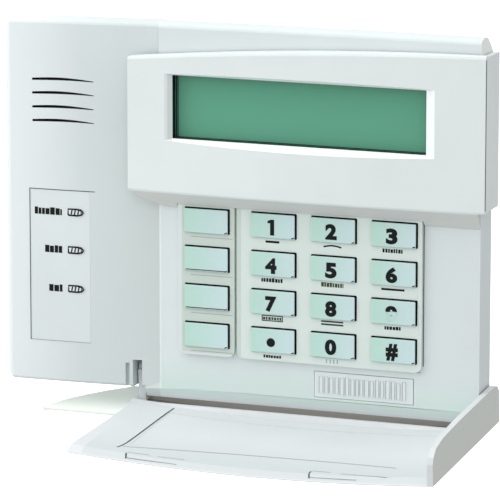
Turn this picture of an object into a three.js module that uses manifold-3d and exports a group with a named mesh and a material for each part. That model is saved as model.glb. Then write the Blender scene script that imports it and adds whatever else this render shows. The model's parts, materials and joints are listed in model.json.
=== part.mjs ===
// Wall-mounted alarm keypad panel, shown with its key door folded down.
// Millimetres, +X to the viewer's right, +Z up, front toward -Y.
// Pieces are drawn from the case's lower left back corner: X right, Z up and "front depth" F toward
// the viewer, so Y = -F. The finished panel is then moved so that its origin is ORIGIN below.
import * as THREE from "three";
import { mergeVertices } from "three/addons/utils/BufferGeometryUtils.js";
import Module from "manifold-3d";

const wasm = await Module();
wasm.setup();

// ---------- driving dimensions ----------
const PLATE_BACK = -5;
// Point on the back face of the wall plate that becomes the panel's origin.
const ORIGIN = { x: 91.5, f: PLATE_BACK, z: 100 };

const BODY_WIDTH = 183.3;
const BODY_BOTTOM = 0.6;
// Height of the crest along the top of the case.
const BODY_TOP_LEFT = 136.9;
const BODY_TOP_MID = 137.9;
const BODY_TOP_RIGHT = 138;
const BODY_WALL = 2.2;
// The top rounds off over this distance back from the front face, and this far up.
const TOP_ROUND = { reach: 5.5, rise: 2.15 };
// How far the top of the case lies below its crest, listed by front depth from the back edge.
const TOP_FALL = [[0, 6.15], [1.8, 4.05], [4, 2.15], [6, 0.6]];
const CAVITY_FALL = [[-1, 7.6], [1.6, 7.6], [2.2, 4.8], [3.4, 2.8], [5.2, 1], [8, 0]];
const WING_END = { reach: 2, inset: 1.4, rise: 2.5, drop: 2 };
const WING_DEPTH = 15.2;
const WING_SWEEP = 3.2;
const CREASE_X = 59.8;
const LOWER_DEPTH = 12.6;
const UPPER_DEPTH = 14;
const STEP_Z = 79;
const LIP = { left: 54.2, right: 182.9, back: 9.4, bottom: -2.65, front: 11 };

const HEAD_LEFT = 49.4;
const HEAD_RIGHT = 186;
const HEAD_BOTTOM = 75.8;
const HEAD_EDGE_DEPTH = 17;
const HEAD_BOW = 2.75;
const HEAD_TOP_RIGHT = 132.4;
const HEAD_TOP_DROP = 7.5;
const HEAD_TOP_CURVE = 1.95;
const HEAD_EDGE = 1.2;
const BAND_BACK_DEPTH = 12.9;
const BAND_BOTTOM = 69.3;
const CHEEK_LEFT = 183.8;

const SCREEN = { left: 67.1, right: 164.1, bottom: 95.7, top: 119, depth: 13 };
const WINDOW = { overlap: 2.9, thickness: 0.6 };
// The opening is straight up to the rim depth and flares from there to the reach depth.
const FLARE = { rim: 17.2, reach: 20.5, left: 10.9, right: 10.6, bottom: 3.1, top: 1.65 };

const KEY = { width: 16.9, height: 8.8, front: 15, back: 8.15, lip: 10.1, radius: 0.4 };
const KEY_ROW_TOP = 69.95;
const KEY_ROW_PITCH = 14.2;
const KEY_COLUMNS = [71, 96.9, 120, 143.1];
const KEY_CLEARANCE = 0.35;
const KEY_LIP = 0.9;
const KEY_CROWN_INSET = 0.35;
const SKIRT_ROOM = 1.3;
const PAD_DEPTH = 14.2;
const FUNCTION_PAD = { left: 68, right: 90, bottom: 15.2, top: 73.4 };
const NUMBER_PAD = { left: 90.9, right: 161.9, bottom: 15.2, top: 73.4 };

const HINGE_F = 5.05;
const HINGE_Z = 6.65;
const DOOR_OPEN_ANGLE = THREE.MathUtils.degToRad(94.5);
const DOOR_TOP = 75.3;
const DOOR_WALL = 2.2;
const DOOR_THIN_WALL = 1.2;
const DOOR_THIN_DEPTH = 16.25;
const DOOR_BOTTOM = -1.4;
// Straight ledge across the inside of the door; below it the wall is thinner.
const LEDGE = { depth: 15.46, bottom: 15.2, crest: 16.45, top: 17.4 };
const PIN_RADIUS = 1.5;

const BOARD_BACK = 4;
const BOARD_FRONT = 5.6;

// ---------- geometry helpers ----------
function cleaned(geometry) {
  geometry.deleteAttribute("normal");
  geometry.deleteAttribute("uv");
  return mergeVertices(geometry, 1e-4);
}

function toSolid(geometry) {
  const g = cleaned(geometry);
  const mesh = new wasm.Mesh({
    numProp: 3,
    vertProperties: new Float32Array(g.attributes.position.array),
    triVerts: new Uint32Array(g.index.array),
  });
  return new wasm.Manifold(mesh);
}

function toGeometry(solid) {
  const mesh = solid.getMesh();
  const g = new THREE.BufferGeometry();
  g.setAttribute("position", new THREE.BufferAttribute(new Float32Array(mesh.vertProperties), 3));
  g.setIndex(new THREE.BufferAttribute(new Uint32Array(mesh.triVerts), 1));
  return g;
}

// Box given by its limits in X, front depth F and Z.
function box(x0, x1, f0, f1, z0, z1) {
  const g = new THREE.BoxGeometry(x1 - x0, f1 - f0, z1 - z0);
  g.translate((x0 + x1) / 2, -(f0 + f1) / 2, (z0 + z1) / 2);
  return toSolid(g);
}

// Outline in the X-Z plane carried from front depth f0 to f1.
function slab(outline, f0, f1) {
  const shape = new THREE.Shape(outline.map(([x, z]) => new THREE.Vector2(x, z)));
  const g = new THREE.ExtrudeGeometry(shape, { depth: f1 - f0, bevelEnabled: false });
  g.translate(0, 0, f0);
  g.rotateX(Math.PI / 2);
  return toSolid(g);
}

// Rounded rectangle outline in the X-Z plane.
function roundedOutline(x0, x1, z0, z1, radius, steps = 3) {
  const corners = [[x1, z0, -90], [x1, z1, 0], [x0, z1, 90], [x0, z0, 180]];
  const points = [];
  for (const [x, z, start] of corners) {
    const cx = x === x0 ? x0 + radius : x1 - radius;
    const cz = z === z0 ? z0 + radius : z1 - radius;
    for (let i = 0; i <= steps; i++) {
      const a = THREE.MathUtils.degToRad(start + (90 * i) / steps);
      points.push([cx + radius * Math.cos(a), cz + radius * Math.sin(a)]);
    }
  }
  return points;
}

function roundedSlab(x0, x1, z0, z1, f0, f1, radius) {
  return slab(roundedOutline(x0, x1, z0, z1, radius), f0, f1);
}

// Cylinder whose axis is parallel to X.
function rodX(x0, x1, f, z, radius, segments = 24) {
  const g = new THREE.CylinderGeometry(radius, radius, x1 - x0, segments);
  g.rotateZ(Math.PI / 2);
  g.translate((x0 + x1) / 2, -f, z);
  return toSolid(g);
}

// Cylinder whose axis is parallel to the front-back direction.
function rodF(x, z, f0, f1, radius, segments = 24) {
  const g = new THREE.CylinderGeometry(radius, radius, f1 - f0, segments);
  g.translate(x, -(f0 + f1) / 2, z);
  return toSolid(g);
}

// Closed solid through cross sections: profileAt(x) lists [F, Z] points, equally many at each x.
function loft(stations, profileAt) {
  const rings = stations.map((x) => profileAt(x).map(([f, z]) => new THREE.Vector3(x, -f, z)));
  const count = rings[0].length;
  const positions = [];
  for (const ring of rings) {
    for (const p of ring) positions.push(p.x, p.y, p.z);
  }
  const index = [];
  for (let i = 0; i + 1 < rings.length; i++) {
    for (let j = 0; j < count; j++) {
      const a = i * count + j;
      const b = i * count + ((j + 1) % count);
      index.push(a, b, b + count, a, b + count, a + count);
    }
  }
  for (const end of [0, rings.length - 1]) {
    const flat = rings[end].map((p) => new THREE.Vector2(-p.y, p.z));
    const follows = end !== 0;
    const ringTurn = Math.sign(THREE.ShapeUtils.area(flat));
    const o = end * count;
    for (const [a, b, c] of THREE.ShapeUtils.triangulateShape(flat, [])) {
      const turn = Math.sign(THREE.ShapeUtils.area([flat[a], flat[b], flat[c]]));
      if ((turn === ringTurn) === follows) index.push(o + a, o + b, o + c);
      else index.push(o + c, o + b, o + a);
    }
  }
  const g = new THREE.BufferGeometry();
  g.setAttribute("position", new THREE.Float32BufferAttribute(positions, 3));
  g.setIndex(windOutward(positions, index));
  return toSolid(g);
}

// Turns the triangles over when the enclosed volume comes out negative.
function windOutward(positions, index) {
  let volume = 0;
  const v = (i) => new THREE.Vector3(positions[3 * i], positions[3 * i + 1], positions[3 * i + 2]);
  for (let i = 0; i < index.length; i += 3) {
    volume += v(index[i]).dot(v(index[i + 1]).cross(v(index[i + 2])));
  }
  if (volume > 0) return index;
  const turned = [];
  for (let i = 0; i < index.length; i += 3) turned.push(index[i], index[i + 2], index[i + 1]);
  return turned;
}

function range(start, end, steps) {
  return Array.from({ length: steps + 1 }, (_, i) => start + ((end - start) * i) / steps);
}

function joined(solids) {
  return solids.reduce((sum, solid) => sum.add(solid));
}

function cutBy(solid, tools) {
  return tools.reduce((rest, tool) => rest.subtract(tool), solid);
}

// Turns a solid drawn in the closed door position to the open position shown.
function opened(solid) {
  const g = toGeometry(solid);
  g.translate(0, HINGE_F, -HINGE_Z);
  g.rotateX(DOOR_OPEN_ANGLE);
  g.translate(0, -HINGE_F, HINGE_Z);
  return toSolid(g);
}

// ---------- surfaces shared by several pieces ----------
function bodyTop(x) {
  const t = x / BODY_WIDTH;
  const chord = BODY_TOP_LEFT + (BODY_TOP_RIGHT - BODY_TOP_LEFT) * t;
  const crown = BODY_TOP_MID - (BODY_TOP_LEFT + BODY_TOP_RIGHT) / 2;
  return chord + crown * 4 * t * (1 - t);
}

function wingDepth(x) {
  return WING_DEPTH - WING_SWEEP * Math.pow(x / CREASE_X, 2);
}

function frontBow(x) {
  const half = (HEAD_RIGHT - HEAD_LEFT) / 2;
  const u = (x - (HEAD_LEFT + HEAD_RIGHT) / 2) / half;
  return HEAD_EDGE_DEPTH + HEAD_BOW * (1 - u * u);
}

function headTop(x) {
  const t = (HEAD_RIGHT - x) / (HEAD_RIGHT - HEAD_LEFT);
  return HEAD_TOP_RIGHT - HEAD_TOP_DROP * Math.pow(t, HEAD_TOP_CURVE);
}

// ---------- colours and surfaces ----------
const COLOURS = {
  shell: { color: 0xe2e9e8, roughness: 0.42 },
  head: { color: 0xe6ebea, roughness: 0.38 },
  door: { color: 0xe8eceb, roughness: 0.38 },
  key: { color: 0xbcd4cf, roughness: 0.35 },
  screen: { color: 0x62a487, roughness: 0.2 },
  label: { color: 0xd9e2e1, roughness: 0.55 },
  board: { color: 0x1f6b3a, roughness: 0.6 },
  silicone: { color: 0xb9bdba, roughness: 0.8 },
  darkPlastic: { color: 0x2b2d2f, roughness: 0.55 },
  steel: { color: 0xb4b8ba, roughness: 0.35, metalness: 0.9 },
  brass: { color: 0xc0a050, roughness: 0.35, metalness: 0.9 },
  greenPlastic: { color: 0x2c8a55, roughness: 0.5 },
  lens: { color: 0xb23a2e, roughness: 0.25 },
  plate: { color: 0xd6dad8, roughness: 0.5 },
};

function piece(name, solid, colourName) {
  const geometry = toGeometry(solid);
  geometry.translate(-ORIGIN.x, ORIGIN.f, -ORIGIN.z);
  const mesh = new THREE.Mesh(geometry, new THREE.MeshStandardMaterial(COLOURS[colourName]));
  mesh.name = name;
  return mesh;
}

// ---------- keys ----------
const KEY_NAMES = [
  ["key_a", "key_1", "key_2", "key_3"],
  ["key_b", "key_4", "key_5", "key_6"],
  ["key_c", "key_7", "key_8", "key_9"],
  ["key_d", "key_star", "key_0", "key_hash"],
];

function keyCells() {
  const cells = [];
  KEY_NAMES.forEach((row, r) => {
    row.forEach((name, c) => {
      const top = KEY_ROW_TOP - KEY_ROW_PITCH * r;
      const left = KEY_COLUMNS[c];
      cells.push({ name, left, right: left + KEY.width, bottom: top - KEY.height, top });
    });
  });
  return cells;
}

function keyCap(cell) {
  const skirt = roundedSlab(
    cell.left - KEY_LIP, cell.right + KEY_LIP, cell.bottom - KEY_LIP, cell.top + KEY_LIP,
    KEY.back, KEY.lip, KEY.radius);
  const stem = roundedSlab(
    cell.left, cell.right, cell.bottom, cell.top, KEY.lip - 0.5, KEY.front - 0.4, KEY.radius);
  const inset = KEY_CROWN_INSET;
  const crown = roundedSlab(
    cell.left + inset, cell.right - inset, cell.bottom + inset, cell.top - inset,
    KEY.front - 0.6, KEY.front, KEY.radius);
  return joined([skirt, stem, crown]);
}

const MAT = { left: 64.5, right: 164.5, bottom: 13.5, top: 74.5, thickness: 0.6, corner: 2 };
const DOME = { radius: 3.2, top: 7 };

function keypadMat() {
  const back = BOARD_FRONT + 0.1;
  const sheet = roundedSlab(MAT.left, MAT.right, MAT.bottom, MAT.top, back, back + MAT.thickness, MAT.corner);
  const domes = keyCells().map((cell) => {
    const x = (cell.left + cell.right) / 2;
    const z = (cell.bottom + cell.top) / 2;
    return rodF(x, z, back + MAT.thickness / 2, DOME.top, DOME.radius, 16);
  });
  const posts = MAIN_SCREWS.slice(2).map(([x, z]) => rodF(x, z, 0, 12, POST_RADIUS + 0.4));
  return cutBy(joined([sheet, ...domes]), posts);
}

// ---------- front case ----------
const POST_RADIUS = 2.6;
const SCREW_HOLE = 1.25;
const SCREW_SHANK = 0.95;
const MAIN_SCREWS = [[12, 18], [12, 76], [168, 18], [168, 70]];
const LCD_SCREWS = [[57, 88], [174, 126]];
const SLOT_LEFT = 10.9;
const SLOT_RIGHT = 34.9;
const SLOT_ROWS = [114, 108.9, 103.7, 98.6];
const SLOT_HALF_HEIGHT = 0.52;
const SLOT_BOW = 0.5;
const SLOT_TIP = 0.3;
const THROUGH = 20;
const PAD_CORNER = 2.5;
const STATUS = { left: 9.5, right: 33.2, bottom: 16, top: 73.2 };
const STATUS_ROWS = [65, 50.8, 36.2];
const PIPE = { left: 24.8, right: 29.6, halfHeight: 1 };
const SOUNDER = { x: 22.9, z: 106.3, radius: 14, back: 8.2, front: 11.4 };
const STATUS_SINK = 0.5;
const PATCH = { left: 120.6, right: 158.4, bottom: 2.9, top: 12.3 };
const ARM_LEFT = 49.8;
const ARM_RIGHT = 52.6;
const ARM_TOP = 10.4;
const ARM_GAP = 0.4;
const RELIEF = { left: 46.6, right: 48.2, top: 9.6 };
const LCD_ROOM = { side: 6, end: 4.5 };
const CLIP = { xs: [60, 115, 170], half: 3.9, bottom: 85.6, top: 87.8 };

// Quarter ellipse from the front face up to the crest.
function frontRound(front, top) {
  const { reach, rise } = TOP_ROUND;
  return [0, 20, 40, 65, 90].map((degrees) => {
    const a = THREE.MathUtils.degToRad(degrees);
    return [front - reach * (1 - Math.cos(a)), top - rise * (1 - Math.sin(a))];
  });
}

// Points of a rounded top from the front backwards.
function fallen(fall, top) {
  return fall.map(([f, drop]) => [f, top - drop]).reverse();
}

function bodyProfile(x) {
  const onWing = x < CREASE_X;
  let low = onWing ? wingDepth(x) : LOWER_DEPTH;
  let high = onWing ? wingDepth(x) + 0.02 : UPPER_DEPTH;
  const corner = Math.pow(Math.max(0, 1 - x / WING_END.reach), 2);
  low -= WING_END.inset * corner;
  high -= WING_END.inset * corner;
  const bottom = BODY_BOTTOM + WING_END.rise * corner;
  const top = bodyTop(x) - WING_END.drop * corner;
  return [
    [0, bottom],
    [low - 1, bottom],
    [low, bottom + 1],
    [low, STEP_Z],
    [high, STEP_Z + 1.5],
    ...frontRound(high, top),
    ...fallen(TOP_FALL, top),
  ];
}

function bodyCavity() {
  const stations = [BODY_WALL, 12, 22, 32, 42, 50, 57, CREASE_X + 0.1, 90, 120, 150, BODY_WIDTH - BODY_WALL];
  return loft(stations, (x) => {
    const low = (x < CREASE_X ? wingDepth(x) : LOWER_DEPTH) - BODY_WALL;
    const high = (x < CREASE_X ? wingDepth(x) + 0.02 : UPPER_DEPTH) - BODY_WALL;
    const bottom = BODY_BOTTOM + BODY_WALL;
    const top = bodyTop(x) - BODY_WALL;
    return [[-1, bottom], [low, bottom], [low, STEP_Z + 1], [high, STEP_Z + 2.5], [high, top],
      ...fallen(CAVITY_FALL, top)];
  });
}

function speakerSlot(z) {
  const steps = 8;
  const upper = [];
  const lower = [];
  for (let i = 0; i <= steps; i++) {
    const t = i / steps;
    const x = SLOT_LEFT + (SLOT_RIGHT - SLOT_LEFT) * t;
    const swell = SLOT_TIP + (1 - SLOT_TIP) * Math.sin(Math.PI * (0.25 + 0.75 * t));
    const bow = SLOT_BOW * Math.sin(Math.PI * t);
    upper.push([x, z + bow + SLOT_HALF_HEIGHT * swell]);
    lower.push([x, z + bow - SLOT_HALF_HEIGHT * swell]);
  }
  return slab([...lower, ...upper.reverse()], 8, THROUGH);
}

function statusRecess() {
  return loft(range(STATUS.left, STATUS.right, 6), (x) => {
    const floor = wingDepth(x) - STATUS_SINK;
    return [[floor, STATUS.bottom], [THROUGH, STATUS.bottom], [THROUGH, STATUS.top], [floor, STATUS.top]];
  });
}

// Skirt under the housing that slants back from the front face and hides the hinge line.
function housingLip() {
  return loft([LIP.left, 62, 72, 84, LIP.right], (x) => {
    const lowered = 1.4 * Math.pow(Math.max(0, (84 - x) / (84 - LIP.left)), 2);
    const crease = BODY_BOTTOM + 1.2 - lowered;
    const root = BODY_BOTTOM + 2;
    return [[LIP.back, LIP.bottom], [LIP.front, LIP.bottom], [LOWER_DEPTH + 0.02, crease],
      [LOWER_DEPTH - 0.5, root], [LIP.back, root]];
  });
}

function screwPost(x, z, skinDepth) {
  const depth = x < CREASE_X ? wingDepth(x) : skinDepth;
  return rodF(x, z, BOARD_FRONT + 0.1, depth - 1, POST_RADIUS, 16);
}

// Ring behind the speaker slots that holds the sounder.
function sounderCup() {
  const { x, z, radius, back } = SOUNDER;
  return rodF(x, z, back, 13.6, radius + 2, 40)
    .subtract(rodF(x, z, back - 1, 12.2, radius + 0.3, 40))
    .subtract(rodF(x, z, 12.1, THROUGH, radius - 0.5, 40));
}

// Walls on both sides of the door's hinge arm, which carry its pin.
function hingeCheeks() {
  const thickness = 2.2;
  const gap = ARM_GAP;
  return [ARM_LEFT - gap - thickness, ARM_RIGHT + gap].map((x0) =>
    box(x0, x0 + thickness, 0.8, LOWER_DEPTH - 1.4, BODY_BOTTOM + 1, 12));
}

function keyOpenings() {
  const gap = KEY_CLEARANCE;
  const holes = keyCells().map((c) =>
    roundedSlab(c.left - gap, c.right + gap, c.bottom - gap, c.top + gap, KEY.lip - 0.2, THROUGH, KEY.radius));
  const rooms = keyCells().map((c) =>
    box(c.left - SKIRT_ROOM, c.right + SKIRT_ROOM, BOARD_FRONT, KEY.lip + 0.3,
      c.bottom - SKIRT_ROOM, c.top + SKIRT_ROOM));
  return [...holes, ...rooms];
}

// Notch for the hinge arm, the relief beside it and the bores for both hinge pins.
function hingeCuts() {
  const bore = PIN_RADIUS + 0.1;
  return [
    box(ARM_LEFT - ARM_GAP, ARM_RIGHT + ARM_GAP, -1, THROUGH, -1, ARM_TOP + 0.5),
    box(RELIEF.left, RELIEF.right, LOWER_DEPTH - 1, THROUGH, -1, RELIEF.top),
    rodX(ARM_LEFT - 2.2, ARM_RIGHT + 2.2, HINGE_F, HINGE_Z, bore),
    rodX(BODY_WIDTH - 3.3, BODY_WIDTH + 0.7, HINGE_F, HINGE_Z, bore),
  ];
}

function pipeHole(z) {
  const gap = 0.2;
  const half = PIPE.halfHeight + gap;
  return box(PIPE.left - gap, PIPE.right + gap, 8, THROUGH, z - half, z + half);
}

function patchSeat() {
  const gap = 0.2;
  return box(PATCH.left - gap, PATCH.right + gap, LOWER_DEPTH - 0.6, THROUGH,
    PATCH.bottom - gap, PATCH.top + gap);
}

function frontCase() {
  const stations = [0, 0.3, 0.8, 2, 8, 15, 22, 29, 36, 43, 50, 55, CREASE_X - 0.01, CREASE_X + 0.8,
    75, 95, 115, 135, 160, BODY_WIDTH];
  const shell = loft(stations, bodyProfile).subtract(bodyCavity());
  const pads = [FUNCTION_PAD, NUMBER_PAD].map((p) =>
    roundedSlab(p.left, p.right, p.bottom, p.top, LOWER_DEPTH - 1, PAD_DEPTH, PAD_CORNER));
  const posts = [...MAIN_SCREWS.map(([x, z]) => screwPost(x, z, LOWER_DEPTH)),
    ...LCD_SCREWS.map(([x, z]) => screwPost(x, z, UPPER_DEPTH))];
  const solid = joined([shell, ...pads, ...posts, sounderCup(), ...hingeCheeks(), housingLip()]);
  const screwHoles = [...MAIN_SCREWS, ...LCD_SCREWS].map(([x, z]) => rodF(x, z, 0, 10, SCREW_HOLE, 12));
  const lcdOpening = box(SCREEN.left - LCD_ROOM.side, SCREEN.right + LCD_ROOM.side, 9, THROUGH,
    SCREEN.bottom - LCD_ROOM.end, SCREEN.top + LCD_ROOM.end);
  const clipSlots = CLIP.xs.map((x) =>
    box(x - CLIP.half - 0.3, x + CLIP.half + 0.3, 9, THROUGH, CLIP.bottom - 0.4, CLIP.top + 0.4));
  return cutBy(solid, [...SLOT_ROWS.map(speakerSlot), statusRecess(), ...keyOpenings(), ...screwHoles,
    lcdOpening, ...STATUS_ROWS.map(pipeHole), ...hingeCuts(), patchSeat(), ...clipSlots]);
}

// ---------- display head ----------
function headProfile(x) {
  const front = frontBow(x);
  const top = headTop(x);
  const back = UPPER_DEPTH + 0.3;
  return [
    [BAND_BACK_DEPTH, BAND_BOTTOM],
    [front - 0.25, HEAD_BOTTOM - 0.25],
    [front, HEAD_BOTTOM + 0.3],
    [front, top - HEAD_EDGE],
    [front - 0.3 * HEAD_EDGE, top - 0.3 * HEAD_EDGE],
    [front - HEAD_EDGE, top],
    [back, top],
    [back, STEP_Z + 1.2],
    [BAND_BACK_DEPTH, STEP_Z - 0.3],
  ];
}

function displayHead() {
  const skin = loft([HEAD_LEFT, ...range(53, HEAD_RIGHT - 1.5, 18), HEAD_RIGHT], headProfile);
  const cheek = box(CHEEK_LEFT, HEAD_RIGHT, 0.8, HEAD_EDGE_DEPTH - 0.5, HEAD_BOTTOM, HEAD_TOP_RIGHT - 0.6);
  const clips = CLIP.xs.map((x) =>
    box(x - CLIP.half, x + CLIP.half, 10.4, UPPER_DEPTH + 1, CLIP.bottom, CLIP.top));
  const padRoom = box(FUNCTION_PAD.left - 0.4, NUMBER_PAD.right + 0.4, 0, PAD_DEPTH + 0.3,
    60, FUNCTION_PAD.top + 0.4);
  const hollowLeft = box(57.5, SCREEN.left - 5, 0, 15.5, 82, 116);
  const hollowRight = box(SCREEN.right + 5, 181, 0, 15.8, 82, 126);
  const seat = WINDOW.overlap + 0.3;
  const windowSeat = box(SCREEN.left - seat, SCREEN.right + seat, 0, SCREEN.depth + WINDOW.thickness + 0.2,
    SCREEN.bottom - seat, SCREEN.top + seat);
  const frameRoom = box(SCREEN.left - 5.2, SCREEN.right + 5.2, 0, UPPER_DEPTH + 0.35,
    SCREEN.bottom - 4.3, SCREEN.top + 4.1);
  const flangeRoom = box(CHEEK_LEFT - 0.4, HEAD_RIGHT + 1, 0, THROUGH, 60, HEAD_BOTTOM - 0.3);
  const head = cutBy(joined([skin, cheek]), [undercutPrism(), bandEnd(), screenFunnel(), padRoom,
    windowSeat, frameRoom, hollowLeft, hollowRight, flangeRoom]);
  return joined([head, ...clips]);
}

// Slanting cut that leaves the left edge of the head sharp and leads back to the right.
function undercutPrism() {
  const g = new THREE.ExtrudeGeometry(
    new THREE.Shape([
      new THREE.Vector2(HEAD_LEFT - 5, 0),
      new THREE.Vector2(HEAD_LEFT + 7, 0),
      new THREE.Vector2(HEAD_LEFT + 5.5, BAND_BACK_DEPTH - 0.5),
      new THREE.Vector2(HEAD_LEFT, HEAD_EDGE_DEPTH - 0.35),
      new THREE.Vector2(HEAD_LEFT - 5, HEAD_EDGE_DEPTH - 0.35),
    ]), { depth: 100, bevelEnabled: false });
  // The outline lies in X-F; it is carried up Z.
  const m = new THREE.Matrix4().makeBasis(
    new THREE.Vector3(1, 0, 0), new THREE.Vector3(0, -1, 0), new THREE.Vector3(0, 0, -1));
  g.applyMatrix4(m);
  g.translate(0, 0, 145);
  return toSolid(g);
}

// Trims the slanted underside so that its left end curves up to the head's lower corner.
function bandEnd() {
  const curve = [[68, BAND_BOTTOM], [62, 69.9], [57, 71.2], [52, 73.6], [HEAD_LEFT, HEAD_BOTTOM - 0.2]];
  const outside = [[HEAD_LEFT - 5, HEAD_BOTTOM - 0.2], [HEAD_LEFT - 5, 60], [68, 60]];
  return slab([...curve, ...outside], 0, HEAD_EDGE_DEPTH - 0.35);
}

// Opening that widens toward the front of the head.
function screenFunnel() {
  const inner = [[SCREEN.left, SCREEN.bottom], [SCREEN.right, SCREEN.bottom],
    [SCREEN.right, SCREEN.top], [SCREEN.left, SCREEN.top]];
  const outer = [[SCREEN.left - FLARE.left, SCREEN.bottom - FLARE.bottom],
    [SCREEN.right + FLARE.right, SCREEN.bottom - FLARE.bottom],
    [SCREEN.right + FLARE.right, SCREEN.top + FLARE.top], [SCREEN.left - FLARE.left, SCREEN.top + FLARE.top]];
  const rings = [[inner, 8], [inner, FLARE.rim], [outer, FLARE.reach]];
  const positions = [];
  for (const [ring, f] of rings) {
    for (const [x, z] of ring) positions.push(x, -f, z);
  }
  const index = [0, 1, 2, 0, 2, 3, 8, 10, 9, 8, 11, 10];
  for (const base of [0, 4]) {
    for (let j = 0; j < 4; j++) {
      const a = base + j;
      const b = base + ((j + 1) % 4);
      index.push(a, b + 4, b, a, a + 4, b + 4);
    }
  }
  const g = new THREE.BufferGeometry();
  g.setAttribute("position", new THREE.Float32BufferAttribute(positions, 3));
  g.setIndex(windOutward(positions, index));
  return toSolid(g);
}

function displayWindow() {
  const { overlap, thickness } = WINDOW;
  return box(SCREEN.left - overlap, SCREEN.right + overlap, SCREEN.depth, SCREEN.depth + thickness,
    SCREEN.bottom - overlap, SCREEN.top + overlap);
}

// ---------- display module ----------
const LCD = { left: 53.2, right: 177.2, bottom: 84.8, top: 128.8 };
const GLASS = { side: 3.4, end: 3, back: 9.8, front: 12 };
const FRAME = { side: 4.6, end: 4.2, wall: 0.8, front: 12.8 };
const RIBBON = { left: 128, right: 150 };

// Box around the screen area, larger by the given amounts at the sides and at top and bottom.
function aroundScreen(side, end, f0, f1) {
  return box(SCREEN.left - side, SCREEN.right + side, f0, f1, SCREEN.bottom - end, SCREEN.top + end);
}

function lcdBoard() {
  const board = box(LCD.left, LCD.right, BOARD_BACK, BOARD_FRONT, LCD.bottom, LCD.top);
  return cutBy(board, LCD_SCREWS.map(([x, z]) => rodF(x, z, 0, 10, 1.3, 12)));
}

function lcdFrame() {
  const outer = aroundScreen(FRAME.side, FRAME.end, BOARD_FRONT + 0.2, FRAME.front);
  const inside = aroundScreen(FRAME.side - FRAME.wall, FRAME.end - FRAME.wall, 0, FRAME.front - 0.6);
  const view = aroundScreen(0.6, 0.6, 0, THROUGH);
  return cutBy(outer, [inside, view]);
}

function lcdGlass() {
  return aroundScreen(GLASS.side, GLASS.end, GLASS.back, GLASS.front);
}

function lcdBacklight() {
  return aroundScreen(GLASS.side, GLASS.end, BOARD_FRONT + 0.2, GLASS.back - 0.2);
}

// Flat cable that steps off the main board and onto the display board behind both.
function ribbonCable() {
  const low = 66.3;
  const high = 88.3;
  const pad = 3;
  const path = [[2.4, low], [3.8, low], [3.8, low + pad], [3, low + pad + 0.7], [3, high - pad - 0.3],
    [3.8, high - pad + 0.4], [3.8, high], [2.4, high], [2.4, high - 1.9], [2.2, high - 2.2],
    [2.2, low + 2.7], [2.4, low + 2.4]];
  return loft([RIBBON.left, RIBBON.right], () => path);
}

// ---------- main board and what it carries ----------
const BOARD = { left: 6, right: 174, bottom: 12.8, top: 80.5, corner: 1.5 };
const SCREW = {
  headBack: 2.7, headFront: 3.9, headRadius: 2.2, tip: 9.4, slotHalf: 1.5, slotWidth: 0.5, slotDepth: 0.6,
};

function mainBoard() {
  const board = roundedSlab(BOARD.left, BOARD.right, BOARD.bottom, BOARD.top,
    BOARD_BACK, BOARD_FRONT, BOARD.corner);
  return cutBy(board, MAIN_SCREWS.map(([x, z]) => rodF(x, z, 0, 10, 1.3, 12)));
}

function boardScrew(x, z) {
  const head = rodF(x, z, SCREW.headBack, SCREW.headFront, SCREW.headRadius, 18);
  const shank = rodF(x, z, SCREW.headFront - 0.1, SCREW.tip, SCREW_SHANK, 14);
  const long = SCREW.slotHalf;
  const narrow = SCREW.slotWidth / 2;
  const floor = SCREW.headBack + SCREW.slotDepth;
  const cross = [box(x - long, x + long, 2, floor, z - narrow, z + narrow),
    box(x - narrow, x + narrow, 2, floor, z - long, z + long)];
  return cutBy(joined([head, shank]), cross);
}

const LAMP = { half: 1.9, halfHeight: 1.3, base: 1.4, top: 2.3, domeRadius: 1.2 };

function statusLight(z) {
  const x = (PIPE.left + PIPE.right) / 2;
  const base = box(x - LAMP.half, x + LAMP.half, BOARD_FRONT + 0.1, BOARD_FRONT + LAMP.base,
    z - LAMP.halfHeight, z + LAMP.halfHeight);
  const dome = rodF(x, z, BOARD_FRONT + LAMP.base - 0.2, BOARD_FRONT + LAMP.top, LAMP.domeRadius, 20);
  return joined([base, dome]);
}

const FOOT = { side: 0.8, end: 0.6, back: 8.4, front: 10.2 };

function lightPipe(z) {
  const half = PIPE.halfHeight;
  const bar = roundedSlab(PIPE.left, PIPE.right, z - half, z + half, 9, WING_DEPTH - 0.55, 0.6);
  const foot = box(PIPE.left - FOOT.side, PIPE.right + FOOT.side, FOOT.back, FOOT.front,
    z - half - FOOT.end, z + half + FOOT.end);
  return joined([bar, foot]);
}

function statusLabel() {
  const margin = 0.06;
  const stations = range(STATUS.left + margin, STATUS.right - margin, 6);
  const sheet = loft(stations, (x) => {
    const back = wingDepth(x) - STATUS_SINK + 0.1;
    const front = wingDepth(x) - 0.05;
    return [[back, STATUS.bottom + margin], [front, STATUS.bottom + margin],
      [front, STATUS.top - margin], [back, STATUS.top - margin]];
  });
  const gap = 0.25;
  const half = PIPE.halfHeight + gap;
  return cutBy(sheet, STATUS_ROWS.map((z) =>
    box(PIPE.left - gap, PIPE.right + gap, 0, THROUGH, z - half, z + half)));
}

function sounder() {
  const { x, z, radius, back, front } = SOUNDER;
  const can = rodF(x, z, back, front, radius, 40);
  const port = rodF(x, z, front - 1, front + 1, 2, 20);
  const lugs = [-4, 4].map((dx) => box(x + dx - 0.8, x + dx + 0.8, back - 1.2, back + 0.2, z - 1, z + 1));
  return joined([can.subtract(port), ...lugs]);
}

const TERMINAL = { left: 98, pitch: 5.4, count: 4, bottom: 32, top: 40.5, back: -3.6 };
const CLAMP = { z: 37.2, boreRadius: 2.2, screwRadius: 1.9, back: -2.8, front: 0.9, floor: 1.2 };
const WIRE_ENTRY = { half: 1.8, back: -1.6, front: 2, bottom: 31, top: 34 };

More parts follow.
